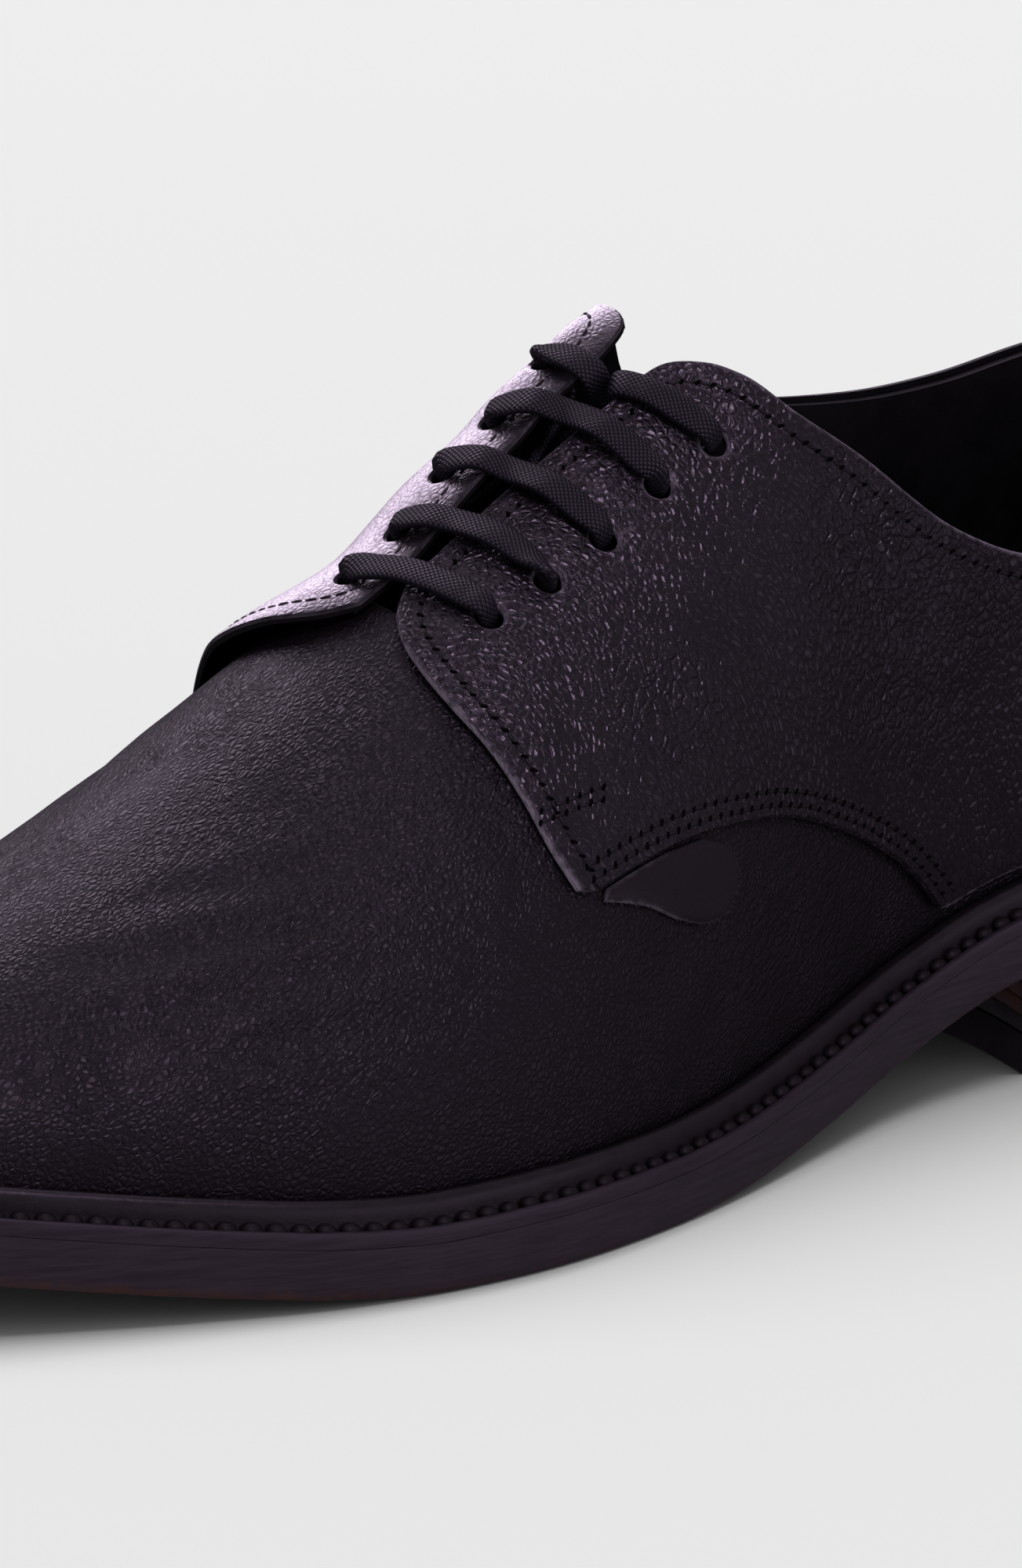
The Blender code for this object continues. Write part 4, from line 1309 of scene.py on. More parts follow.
@dataclass
class Ringed(Piece):
    """Piece that runs round the sole."""

    stations: int = 230

    def ring(self, inset: float, rise: float) -> np.ndarray:
        """Closed loop round the sole: heel, lateral side, toe, medial side.

        Args:
            inset: Distance in from the sole's edge.
            rise: Distance over the sole's bottom.

        Returns:
            Points in order.
        """
        angles = np.linspace(0, 1, self.stations + 1)
        lateral, _ = self.last.outline(angles, Side.LATERAL, inset)
        medial, _ = self.last.outline(angles, Side.MEDIAL, inset)
        plan = np.concatenate([lateral, medial[-2:0:-1]])
        return np.column_stack([plan, self.last.bottom(plan[:, 0]) + rise])

    @staticmethod
    def walls(count: int, size: int, closed: bool = False) -> list[tuple[int, ...]]:
        """Quads between loops that follow one another.

        Args:
            count: Number of loops.
            size: Points of each loop.
            closed: Whether the last loop joins the first.

        Returns:
            Faces.
        """
        faces = []
        for k in range(count if closed else count - 1):
            a, b = k * size, (k + 1) % count * size
            for i in range(size):
                j = (i + 1) % size
                faces.append((a + i, a + j, b + j, b + i))
        return faces

    def cap(self, start: int) -> list[tuple[int, ...]]:
        """Strips from side to side that close a loop round the whole sole.

        Args:
            start: Number of the loop's first point.

        Returns:
            Faces.
        """
        size, end = 2 * self.stations, self.stations
        faces = [(start, start + 1, start + size - 1)]
        for i in range(1, end - 1):
            faces.append((start + i, start + i + 1, start + size - i - 1, start + size - i))
        return faces + [(start + end - 1, start + end, start + size - end + 1)]

    def plate(self, profile: Sequence[tuple[float, float]]) -> Solid:
        """Closed solid from (inset, rise) rows, bottom to top.

        Args:
            profile: Rows of inset from the sole's edge and rise over its bottom.

        Returns:
            Solid with looks 0 on its side and 1 on both caps.
        """
        loops = [self.ring(*row) for row in profile]
        size = 2 * self.stations
        side = self.walls(len(loops), size)
        ends = self.cap(0) + self.cap((len(loops) - 1) * size)
        return Solid(np.concatenate(loops), side + ends, [0] * len(side) + [1] * len(ends))


@dataclass
class Bottom(Ringed):
    """Outsole and the insole board above it."""

    insole: float = 3.5
    fill: float = 0.27

    def build(self) -> None:
        """Makes both plates."""
        top = self.last.outsole
        rows = [(0.9, 0.0), (0.55, 0.08), (0.25, 0.35), (0.07, 0.65), (0.0, 1.0), (0.0, 2.4), (0.0, 4.2)]
        sole = self.plate([*rows, (0.0, top), (0.02, top + self.fill), (0.20, top + self.fill)])
        rise = sole.points[:, 2] - self.last.bottom(sole.points[:, 0])
        front = ease(0.62, 0.80, sole.points[:, 0] / self.last.length)
        sole = sole._replace(marks={"edge": (1 - ease(0.2, 2.2, rise)) * (0.35 + 0.5 * front)})
        made = self.make("sole_plate", sole, [self.looks.sole_edge, self.looks.sole_floor])
        self.hand_over(made, Slot.SOLE, "outsole")
        inset, base = self.last.feather + self.last.wall + self.last.gap, top + self.last.gap
        above = base + self.insole
        rows = [(inset, base), (inset, above - 0.8), (inset + 0.25, above - 0.25), (inset + 0.8, above)]
        board = self.plate(rows)
        made = self.make("insole_board", board, [self.looks.insole, self.looks.insole])
        self.hand_over(made, Slot.INSOLE, "insole")


@dataclass
class Welt(Ringed):
    """Storm welt: shelf with a stitch channel, then the raised bead."""

    edge: float = 9.4
    bead: float = 3.4
    clear: float = 0.5
    pitch: float = 3.4
    channel: float = 1.95
    lean: float = 0.45
    edge_rows: int = 5

    def build(self) -> None:
        """Makes the welt."""
        base, edge, top = self.last.outsole + self.last.gap, self.edge, self.edge + self.bead
        shelf = [(0.02, base), (0.0, base + 0.05), (0.0, edge - 0.6), (0.12, edge - 0.22)]
        shelf += [(0.4, edge - 0.04), (0.8, edge), (1.05, edge - 0.1), (1.25, edge - 0.5)]
        shelf += [(1.55, edge - 0.8), (2.3, edge - 0.8), (2.56, edge - 0.3)]
        bead = [(2.66, edge + 0.6), (2.78, edge + 1.4), (2.92, edge + 2.1), (3.12, top - 0.72)]
        bead += [(3.4, top - 0.3), (3.75, top - 0.05), (4.1, top)]
        loops = [self.ring(*row) for row in shelf + bead]
        angles = np.linspace(0, 1, self.stations + 1)
        for rise in (top - base - 0.25, top - base - 0.9, (top - base) / 2, 0.0):
            sides = []
            for side in Side:
                wall = self.last.point(angles, self.last.height_at(angles, side, rise), side)
                wall[:, :2] += self.last.outline(angles, side)[1] * self.clear
                sides.append(wall)
            loops.append(np.concatenate([sides[0], sides[1][-2:0:-1]]))
        faces = self.walls(len(loops), 2 * self.stations, closed=True)
        looks = [int(k < self.edge_rows * 2 * self.stations) for k in range(len(faces))]
        finishes = [self.looks.welt, self.looks.sole_edge]
        made = self.make("storm_welt", Solid(np.concatenate(loops), faces, looks), finishes)
        self.hand_over(made, Slot.WELT, "welt")

    def stitch_points(self) -> Rows:
        """Places of the welt stitches.

        Returns:
            The row round the shoe.
        """
        loop = self.ring(self.channel, self.edge - 0.3)
        run = run_along(loop)
        at = np.arange(0, run[-1], self.pitch)
        spots = np.column_stack([np.interp(at, run, loop[:, k]) for k in range(3)])
        along = unit(np.roll(spots, -1, axis=0) - np.roll(spots, 1, axis=0))
        side_way = unit(np.cross(along, (0.0, 0.0, 1.0)))
        inner = self.ring(self.channel + 2.0, self.edge)
        outward = np.sign(np.sum((spots - inner[nearest(spots, inner)[1]]) * side_way, -1))[:, None]
        return Rows(spots, along, unit(side_way * outward * self.lean + (0.0, 0.0, 1.0)))


@dataclass
class Heel(Ringed):
    """Stacked leather lifts on a rubber top piece, with a hollow breast."""

    top_piece: float = 6.0
    breast: float = 82.0
    hollow: float = 5.0
    taper: float = 1.2
    seat: float = 0.4
    side_count: int = 70
    breast_count: int = 40
    levels: tuple[float, ...] = (0.0, 0.03, 0.30, 0.33, 0.36, 0.64, 0.67, 0.70, 0.97, 1.0)
    seams: tuple[float, ...] = (0.33, 0.67)

    def loop(self, inset: float, height: float) -> np.ndarray:
        """Heel outline. A height below 0 hangs under the sole, and others are levels.

        Args:
            inset: Distance in from the sole's edge.
            height: Height of the loop.

        Returns:
            Points in order.
        """
        angles = np.linspace(0, turn((self.breast - inset) / self.last.length), self.side_count)
        lateral, _ = self.last.outline(angles, Side.LATERAL, inset)
        medial, _ = self.last.outline(angles, Side.MEDIAL, inset)
        across = np.linspace(0, 1, self.breast_count + 2)[1:-1, None]
        front = lateral[-1] * (1 - across) + medial[-1] * across
        front[:, 0] -= self.hollow * 4 * (across * (1 - across))[:, 0]
        plan = np.concatenate([lateral, front, medial[:0:-1]])
        level = self.last.bottom(plan[:, 0]) + height if height < 0 else np.full(len(plan), height)
        return np.column_stack([plan, level])

    def block(self, loops: Sequence[np.ndarray]) -> Solid:
        """Closed block from heel loops, bottom to top.

        Args:
            loops: Heel outlines.

        Returns:
            The solid.
        """
        size = len(loops[0])
        final = (len(loops) - 1) * size
        faces = self.walls(len(loops), size) + [tuple(range(size)), tuple(range(final, final + size))]
        return Solid(np.concatenate(loops), faces)

    def build(self) -> None:
        """Makes the top piece and the lifts."""
        rows = [(self.taper + 0.5, 0.0), (self.taper + 0.15, 0.15), (self.taper, 0.5)]
        rows += [(self.taper, self.top_piece - 0.2), (self.taper + 0.12, self.top_piece)]
        block = self.block([self.loop(*row) for row in rows])
        made = self.make("rubber_top_piece", block, [self.looks.rubber])
        self.hand_over(made, Slot.RUBBER, "heel_top_piece")
        low = self.loop(self.taper, self.top_piece + self.last.gap)
        high = self.loop(self.seat, -self.last.gap)
        line = self.loop(self.taper + 0.35, self.top_piece + self.last.gap)
        loops, size = [], len(low)
        for t in self.levels:
            inward = 0.6 if t in self.seams else 0.25 if t in (0.0, 1.0) else 0.0
            loops.append(low * (1 - t) + high * t + (line - low) * inward)
        block = self.block(loops)
        share_up = np.repeat(self.levels, size)
        at_breast = np.zeros(size)
        at_breast[self.side_count : self.side_count + self.breast_count] = 1
        raw = np.tile(at_breast, len(loops)) * ease(self.levels[2], self.levels[4], share_up)
        made = self.make("stacked_lifts", block._replace(marks={"stain": 1 - raw}), [self.looks.lifts])
        self.hand_over(made, Slot.LIFT, "heel_lifts")


@dataclass
class UpperShell(Piece):
    """Hollow shell of vamp and lining, with listed creases."""

    slit_height: float = 0.915
    spring: float = 0.7
    hole: float = 2.5
    step: float = 1.7
    weld: float = 0.01
    pole: float = 4.0
    middle: float = 40.0
    under_collar: float = 0.010
    counts: tuple[int, ...] = (200, 52, 92, 6, 150, 44)

    def collar(self, share: np.ndarray, side: Side) -> np.ndarray:
        """Top of the upper along the collar and then along the slit.

        Args:
            share: Places along the length.
            side: Side of the shoe.

        Returns:
            Heights between feather line and crest.
        """
        rows = column(COLLAR, side.label)
        along = spline(turn(column(COLLAR, "share")), rows, turn(share)) - self.under_collar
        along = np.minimum(along, self.slit_height)
        return np.where(share > COLLAR[-2].share, self.slit_height, along)

    def loop(self, pattern: Pattern) -> np.ndarray:
        """Flat outline of one side, with the same heel, toe and crest points on both.

        Args:
            pattern: Flat layout of the side.

        Returns:
            Points in order.
        """
        u, v, end = pattern.unit_u, pattern.unit_v, float(turn(SLIT_END))
        angles = np.linspace(end, 0, self.counts[4])
        top = np.column_stack([angles * u, self.collar(share_of(angles), pattern.side) * v])
        slit = (end * u, self.slit_height * v)
        corners = [(0, 0), (u, 0), (u, v), (end * u, v), slit]
        ways = zip(corners, corners[1:], self.counts)
        foot, toe, crest, drop = (np.linspace(a, b, count) for a, b, count in ways)
        heel = np.linspace((0, top[-1, 1]), (0, 0), self.counts[5])
        return np.concatenate([foot, toe[1:], crest[1:], drop[1:], top[1:], heel[1:-1]])

    def build(self) -> None:
        """Makes the shell."""
        sheet = bmesh.new()
        for side in Side:
            pattern = Pattern(self.last, side)
            holes = [pattern.hole(eyelet(side, row), self.hole) for row in range(EYELET_ROWS)]
            cut = pattern.cut(self.loop(pattern), holes, self.step, ())
            angle, height = pattern.lift_up(cut.spots)
            lift = self.spring * top_lift(side, share_of(angle), height)[:, None]
            way = np.where(lift > 0, self.last.out(angle, height, side), 0.0)
            corners = [sheet.verts.new(p) for p in self.last.point(angle, height, side) + way * lift]
            for face in cut.faces:
                order = face[::-1] if side > 0 else face
                sheet.faces.new([corners[i] for i in order])
        bmesh.ops.remove_doubles(sheet, verts=sheet.verts, dist=self.weld)
        bmesh.ops.delete(sheet, geom=[v for v in sheet.verts if not v.link_faces], context="VERTS")
        bmesh.ops.recalc_face_normals(sheet, faces=sheet.faces)
        sheet.normal_update()
        sheet.verts.index_update()
        spots = np.array([v.co for v in sheet.verts])
        ways = np.array([v.normal for v in sheet.verts])
        faces = [tuple(v.index for v in face.verts) for face in sheet.faces]
        sheet.free()
        if np.sum(ways[:, 2] * (spots[:, 2] - self.middle)) < 0:
            ways, faces = -ways, [face[::-1] for face in faces]
        away = np.linalg.norm(spots - self.last.point(np.ones(1), np.ones(1), Side.LATERAL), axis=1)
        steady = unit(ways[(away > self.pole) & (away < 2 * self.pole)].mean(axis=0))
        ways[away < self.pole] = steady
        rise, work = np.zeros(len(spots)), np.zeros(len(spots))
        for side in Side:
            more, worked = self.last.creased(spots, VAMP_FOLDS[side], side)
            rise, work = rise + more, np.maximum(work, worked)
        outside = spots + ways * rise[:, None]
        solid = skins(spots - ways * self.last.wall, outside, faces)
        marks = {"work": np.tile(work, 2), "edge": np.zeros(2 * len(spots))}
        finishes = [self.looks.vamp, self.looks.lining, self.looks.lining]
        made = self.make("upper_shell", solid._replace(marks=marks), finishes)
        self.hand_over(made, Slot.UPPER, "upper")


@dataclass
class Panels(Piece):
    """Leather panels laid over one side of the upper: its quarter and its stay."""

    side: Side = Side.LATERAL
    gap: float = 0.6
    thick: float = 1.3
    stay_gap: float = 0.35
    stay_thick: float = 0.7
    hole: float = 2.0
    round: float = 0.55
    foot: float = 0.078
    back: float = 0.0006
    groove: float = 0.16
    groove_width: float = 0.75
    # Reach of the light cut edge, which is rubbed leather plus a painted highlight.
    rub: float = 0.28
    arc_rub: float = 0.18
    pitch: float = 2.2
    slant: float = 0.9
    step: float = 0.8
    free_seam: float = 3.2
    arc_seams: tuple[float, float] = (1.7, 3.6)
    full_round: float = 1.2
    fibre_pitch: float = 0.35
    stitches: list[Rows] = field(default_factory=list)
    holes: list[Rows] = field(default_factory=list)
    raw_edges: list[Rows] = field(default_factory=list)
    pattern: Pattern = field(init=False)

    def __post_init__(self) -> None:
        """Lays the side out flat."""
        self.pattern = Pattern(self.last, self.side)

    def edges(self) -> dict[str, np.ndarray]:
        """Flat edges of a quarter by name, in order round it.

        Returns:
            Points of each edge.
        """
        pattern, side, step = self.pattern, self.side, self.step
        u, v = pattern.unit_u, pattern.unit_v
        top = [(row.share, getattr(row, side.label)) for row in COLLAR]
        back_top = np.array([self.back * u, top[0][1] * v])
        back_foot = np.array([self.back * u, self.foot * v])
        arc = smooth(pattern.lay(forward(QUARTER_ARC, side)), step)
        foot_front = np.array([arc[-1][0] - 1.5, self.foot * v])
        count = int(math.dist(foot_front, back_foot) / step)
        rise = int(math.dist(back_foot, back_top) / step)
        throat = [FACING_TOP[side], FACING_MIDDLE[side], FACING_THROAT[side]]
        front = [FACING_THROAT[side], *forward(FACING_FRONT, side)]
        return {
            "top": smooth(np.vstack([back_top, pattern.lay(top[1:] + throat)]), step),
            "front": smooth(pattern.lay(front), step)[1:],
            "arc": arc,
            "foot": np.linspace(foot_front, back_foot, count),
            "back": np.linspace(back_foot, back_top, rise)[1:-1],
        }

    def seam_lines(self, edges: dict[str, np.ndarray]) -> list[np.ndarray]:
        """Flat lines of all stitch rows of a quarter.

        Args:
            edges: Edges of the quarter.

        Returns:
            One flat path for each row.
        """
        pattern, side = self.pattern, self.side
        border = np.concatenate(list(edges.values()))
        free = np.concatenate([edges["top"], edges["front"]])
        lines = []
        rows = [(free, self.free_seam), *((edges["arc"], distance) for distance in self.arc_seams)]
        for path, distance in rows:
            moved = pattern.inset(path, distance)
            for _ in range(2):
                inside = within(border, moved) & (nearest(moved, border)[0] > 0.5 * distance)
                moved = smooth(moved[inside], self.step)
            lines.append(moved)
        return lines + [smooth(pattern.lay(forward(tack, side)), self.step) for tack in BAR_TACKS]

    def on_panel(self, path: np.ndarray, rise: float) -> tuple[np.ndarray, np.ndarray]:
        """Points on a raised panel, with the outward directions.

        Args:
            path: Flat points.
            rise: Distance over the last.

        Returns:
            Points, and outward unit directions.
        """
        angle, height = self.pattern.lift_up(path)
        way = self.last.out(angle, height, self.side)
        lift = facing_lift(self.side, share_of(angle), height)
        return self.last.point(angle, height, self.side) + way * (rise + lift)[:, None], way

    def sew(self, line: np.ndarray, rise: float, pitch: float) -> tuple[Rows, Rows]:
        """Stitches along a flat line, with needle holes between them.

        Args:
            line: Flat path of the row.
            rise: Height of the thread over the last.
            pitch: Length of one stitch.

        Returns:
            Stitch places and hole places.
        """
        spots, _ = self.on_panel(line, rise)
        run = run_along(spots)
        made = []
        for start in (0.5 * pitch, 0.0):
            at = np.arange(start, run[-1], pitch)
            path = np.column_stack([np.interp(at, run, line[:, k]) for k in range(2)])
            points, way = self.on_panel(path, rise)
            made.append(Rows(points, unit(np.gradient(points, axis=0)), way))
        stitch, needle = made
        across = np.cross(needle.outward, needle.along)
        aslant = needle.along * math.cos(self.slant) + across * math.sin(self.slant)
        return stitch, needle._replace(along=aslant)

    def panel(self, cut: Cut, rises: tuple[float, float], dent: np.ndarray) -> Solid:
        """Raised panel with a rounded cut edge.

        Args:
            cut: Flat shape.
            rises: Distances of both skins over the last.
            dent: Change of the outer skin at each point.

        Returns:
            Closed solid with looks 0 outside, 1 inside and 2 on the rim.
        """
        inside, way = self.on_panel(cut.spots, rises[0])
        near, thick = 1 - np.clip(cut.away / self.round, 0, 1), rises[1] - rises[0]
        drop = self.round * (1 - np.sqrt(1 - near**2)) * min(1.0, thick / self.full_round)
        outside = inside + way * (thick - drop + dent)[:, None]
        corners = outside[np.array(cut.faces)]
        area = np.cross(corners[:, 1] - corners[:, 0], corners[:, 2] - corners[:, 0])
        faces = cut.faces
        if np.sum(area * way[np.array(cut.faces)[:, 0]]) < 0:
            faces = [face[::-1] for face in faces]
        solid = skins(inside, outside, faces)
        # Mark of the light cut edge: rubbed leather and, on the quarters, a painted highlight.
        edge = np.concatenate([np.exp(-cut.away / self.rub), np.ones(len(cut.spots))])
        return solid._replace(marks={"edge": edge})

    def build(self) -> None:
        """Makes the quarter and the stay."""
        self.quarter()
        self.stay()

    def quarter(self) -> None:
        """One quarter with its facing, eyelets and seams."""
        pattern, side, edges = self.pattern, self.side, self.edges()
        lines = self.seam_lines(edges)
        seam = np.concatenate(lines)
        eyes = [pattern.hole(eyelet(side, row), self.hole) for row in range(EYELET_ROWS)]
        cut = pattern.cut(np.concatenate(list(edges.values())), eyes, 1.5, (0.25, 0.65), seam)
        base, _ = self.on_panel(cut.spots, 0.0)
        rise, work = self.last.creased(base, QUARTER_FOLDS[side], side)
        sunk = self.groove * np.exp(-((nearest(cut.spots, seam)[0] / self.groove_width) ** 2))
        solid = self.panel(cut, (self.gap, self.gap + self.thick), rise - sunk)
        solid.marks["work"] = np.tile(work, 2)
        # Sewn arc edges get little of the painted highlight that the free edges carry.
        sewn = nearest(cut.spots, edges["arc"])[0] < self.thick
        solid.marks["edge"] *= np.tile(np.where(sewn, self.arc_rub, 1.0), 2)
        leather = self.looks.quarters[side]
        rim = leather if side is Side.LATERAL else self.looks.edge_paint
        finishes = [leather, self.looks.lining, rim]
        made = self.make(f"{side.label}_quarter_leather", solid, finishes)
        self.hand_over(made, Slot.UPPER, f"quarter_{side.label}")
        for line in lines:
            row, needle = self.sew(line, self.gap + self.thick - self.groove, self.pitch)
            self.stitches.append(row)
            if side is Side.LATERAL:
                self.holes.append(needle)

    def stay(self) -> None:
        """Leaf below the quarter point, with a raw lower edge."""
        pattern, side = self.pattern, self.side
        lower = smooth(pattern.lay(forward(STAY_EDGE, side)), self.step)
        arc = smooth(pattern.lay(forward(QUARTER_ARC[:4], side)), self.step)[1:]
        upper = arc[::-1] - (0.0, 0.4)
        keep = (upper[:, 0] > lower[-1][0] + 1.0) & (upper[:, 0] < lower[0][0] - 0.6)
        cut = pattern.cut(np.concatenate([lower, upper[keep]]), (), 1.3, (0.25, 0.6))
        rises = self.stay_gap, self.stay_gap + self.stay_thick
        solid = self.panel(cut, rises, np.zeros(len(cut.spots)))
        solid.marks["work"] = np.zeros(len(solid.points))
        bare = ease(0.520, 0.560, share_of(pattern.lift_up(cut.spots)[0]) - FORWARD[side])
        solid.marks["edge"] *= np.tile(bare, 2)
        made = self.make(f"{side.label}_stay_leather", solid, [self.looks.stay] * 3)
        self.hand_over(made, Slot.SMOOTH, f"stay_{side.label}")
        fibres, _ = self.sew(lower, rises[1] - 0.3, self.fibre_pitch)
        self.raw_edges.append(fibres)


@dataclass
class Tongue(Piece):
    """Arched tongue inside the slit."""

    front: float = 0.658
    top: float = 0.457
    edge: float = 0.660
    thick: float = 1.6
    drop: float = 2.6
    ramp: float = 0.02
    columns: int = 70
    rows: int = 44

    def build(self) -> None:
        """Makes the tongue."""
        columns, rows = self.columns, self.rows
        share = np.repeat(np.linspace(self.top, self.front, columns + 1), rows + 1)
        across = np.tile(np.linspace(-1, 1, rows + 1), columns + 1)
        sunk = ease(self.front - self.ramp, SLIT_END - self.ramp, share)
        depth = self.last.wall + 2.4 * self.last.gap + self.drop * sunk
        height = 1 - np.abs(across) * (1 - self.edge)
        outside = np.zeros((len(share), 3))
        inside = np.zeros((len(share), 3))
        for side in Side:
            on = across >= 0 if side > 0 else across < 0
            base = self.last.point(turn(share[on]), height[on], side)
            way = self.last.out(turn(share[on]), height[on], side)
            outside[on] = base - way * depth[on, None]
            inside[on] = base - way * (depth[on, None] + self.thick)
        starts = [i * (rows + 1) + j for i in range(columns) for j in range(rows)]
        faces = [(a, a + rows + 1, a + rows + 2, a + 1) for a in starts]
        solid = skins(inside, outside, faces)
        marks = {"work": np.zeros(len(solid.points)), "edge": np.zeros(len(solid.points))}
        finishes = [self.looks.vamp, self.looks.lining, self.looks.lining]
        made = self.make("tongue_leather", solid._replace(marks=marks), finishes)
        self.hand_over(made, Slot.UPPER, "tongue")


class Stop(NamedTuple):
    """Point on the lace's route with its section there and the way it faces."""

    point: np.ndarray
    width: float
    thick: float
    out: np.ndarray


@dataclass
class Lace(Piece):
    """One flat lace: four bars, two tucked ends and the hidden runs between the rows."""

    width: float = 4.3
    thick: float = 1.6
    round: float = 1.7
    over: float = 3.1
    under: float = -2.6
    tuck: float = 0.474
    sides: int = 18
    rows: int = EYELET_ROWS

    def at(self, place: Edge, side: Side, rise: float, width: float, thick: float) -> Stop:
        """Stop at a distance from the last."""
        out = self.last.out(turn(np.float64(place.share)), np.float64(place.height), side)
        return Stop(self.last.raised(*place, side, rise), width, thick, out)

    def across(
        self, ends: tuple[Edge, Edge], a: float, rise: float, size: tuple[float, float], bridge: float
    ) -> Stop:
        """Stop between two eyelets.

        Args:
            ends: Lateral and medial eyelet.
            a: Place across, 1 lateral, 0 crest and -1 medial.
            rise: Distance over the facings.
            size: Width and thickness.
            bridge: Share of the step up to the medial facing that it takes early.

        Returns:
            The stop.
        """
        side = Side.LATERAL if a >= 0 else Side.MEDIAL
        share = ends[0].share * (1 + a) / 2 + ends[1].share * (1 - a) / 2
        eye = ends[0] if a >= 0 else ends[1]
        height = 1 - (1 - eye.height) * abs(a)
        more = float(facing_lift(side, share, height))
        if side > 0:
            more += bridge * float(facing_lift(Side.MEDIAL, share, 1.0) * ease(0.7, 0.0, a))
        return self.at(Edge(share, height), side, rise + (more if rise > 0 else 0.0), *size)

    def bar(self, ends: tuple[Edge, Edge], start: float, end: float, bridge: float = 1.0) -> list[Stop]:
        """Lace from one eyelet over the facings to the other.

        Args:
            ends: Lateral and medial eyelet.
            start: Place where it comes up.
            end: Place where it goes down, or 0 to stop on the crest.
            bridge: Share of the step between the facings that it takes early.

        Returns:
            Stops in order.
        """
        flat, sign = (self.width, self.thick), 1 if start > end else -1
        stops = []
        for a, rise, size in (
            (start, self.under * 0.85, (self.round, self.round * 0.9)),
            (start, 0.9, (self.round + 1.3, self.round)),
            (start - 0.05 * sign, self.over - 0.15, (self.width * 0.8, self.thick * 1.1)),
            (start - 0.28 * sign, self.over + 0.15, flat),
            (start - 0.62 * sign, self.over + 0.1, flat),
        ):
            stops.append(self.across(ends, a, rise, size, bridge))
        if end == 0:
            return stops
        middle = self.across(ends, 0.0, self.over + 0.2, flat, 0.0)
        return stops + [middle] + self.bar(ends, end, 0)[::-1]

    def hidden(
        self, start: Edge, end: Edge, sides: tuple[Side, Side], times: Sequence[float]
    ) -> list[Stop]:
        """Lace inside the shoe from one eyelet to another.

        Args:
            start: Eyelet that it leaves.
            end: Eyelet that it goes to.
            sides: Sides of both eyelets.
            times: Shares of the way where it has a stop.

        Returns:
            Stops in order.
        """
        stops = []
        for t in times:
            share = start.share * (1 - t) + end.share * t
            side, height = sides[0], start.height * (1 - t) + end.height * t
            if sides[0] != sides[1]:
                a = 1 - 2 * t
                side = sides[0] if a >= 0 else sides[1]
                height = 1 - (1 - (start if a >= 0 else end).height) * abs(a)
            place, size = Edge(share, height), (self.round, self.round * 0.9)
            stops.append(self.at(place, side, self.under - 0.35, *size))
        return stops

    def tucked(self, side: Side) -> list[Stop]:
        """Lace end that comes up out of the throat and over one facing to its top eyelet.

        Args:
            side: Side of the shoe.

        Returns:
            Stops in order.
        """
        eye = eyelet(side, self.rows - 1)
        mirror = Edge(2 * self.tuck - eye.share, eye.height)
        ends = (eye, mirror) if side > 0 else (mirror, eye)
        flat = (self.width, self.thick)
        half = self.bar(ends, float(side), 0, bridge=0.0)[:-1]
        rows = ((0.085, -0.6), (0.13, self.over - 0.7), (0.34, self.over + 0.1))
        return [self.across(ends, a * side, rise, flat, 0.0) for a, rise in rows] + half[::-1]

    def route(self) -> list[Stop]:
        """All stops of the lace from end to end.

        Returns:
            Stops in order.
        """
        stops, side = self.tucked(Side.LATERAL), Side.LATERAL
        for row in range(self.rows - 2, -1, -1):
            above, below = eyelet(side, row + 1), eyelet(side, row)
            stops += self.hidden(above, below, (side, side), (0.26, 0.5, 0.74))
            ends = eyelet(Side.LATERAL, row), eyelet(Side.MEDIAL, row)
            stops += self.bar(ends, float(side), float(-side))
            side = Side(-side)
        low, high = eyelet(Side.LATERAL, 0), eyelet(Side.MEDIAL, self.rows - 1)
        times = (0.08, 0.25, 0.42, 0.58, 0.75, 0.92)
        stops += self.hidden(low, high, (Side.LATERAL, Side.MEDIAL), times)
        return stops + self.tucked(Side.MEDIAL)[::-1]

    def build(self) -> None:
        """Makes the lace."""
        stops = self.route()
        rows = smooth(np.array([(*s.point, s.width, s.thick, *s.out) for s in stops]), 0.6)
        path, out = rows[:, :3], unit(rows[:, 5:])
        ahead = unit(np.gradient(path, axis=0))
        turns = np.arange(self.sides) * 2 * math.pi / self.sides
        flat = [np.sign(f(turns)) * np.abs(f(turns)) ** 0.7 for f in (np.cos, np.sin)]
        wide, points, uv = np.cross(ahead[0], out[0]), [], []
        run = run_along(path)
        for i, (spot, way) in enumerate(zip(path, ahead)):
            goal = np.cross(way, out[i])
            goal = goal * np.sign(goal @ wide) * ease(0.2, 0.8, np.linalg.norm(goal)) * 0.35
            wide = wide - way * (wide @ way) + goal
            wide = unit(wide - way * (wide @ way))
            deep = np.cross(way, wide)
            across, through = flat[0] * rows[i, 3] * 0.5, flat[1] * rows[i, 4] * 0.5
            points.append(spot + across[:, None] * wide + through[:, None] * deep)
            uv.append(np.column_stack([np.full(self.sides, run[i]), across]))
        faces = Ringed.walls(len(path), self.sides)
        end = (len(path) - 1) * self.sides
        faces += [tuple(range(self.sides - 1, -1, -1)), tuple(range(end, end + self.sides))]
        solid = Solid(np.concatenate(points), faces, uv=np.concatenate(uv))
        made = self.make("waxed_lace_run", solid, [self.looks.lace], crisp=70.0)
        self.hand_over(made, Slot.LACE, "lace")


class Body(NamedTuple):
    """Small rounded body that repeats: its size in millimetres, how it varies and its finish."""

    size: tuple[float, float, float]
    turn: float
    spread: float
    finish: bpy.types.Material

    def inputs(self) -> dict[str, Any]:
        """Inputs of the node tree by name."""
        values = {"Size": Vector(self.size) * MM, "Turn": self.turn, "Spread": self.spread}
        return {**values, "Material": self.finish}


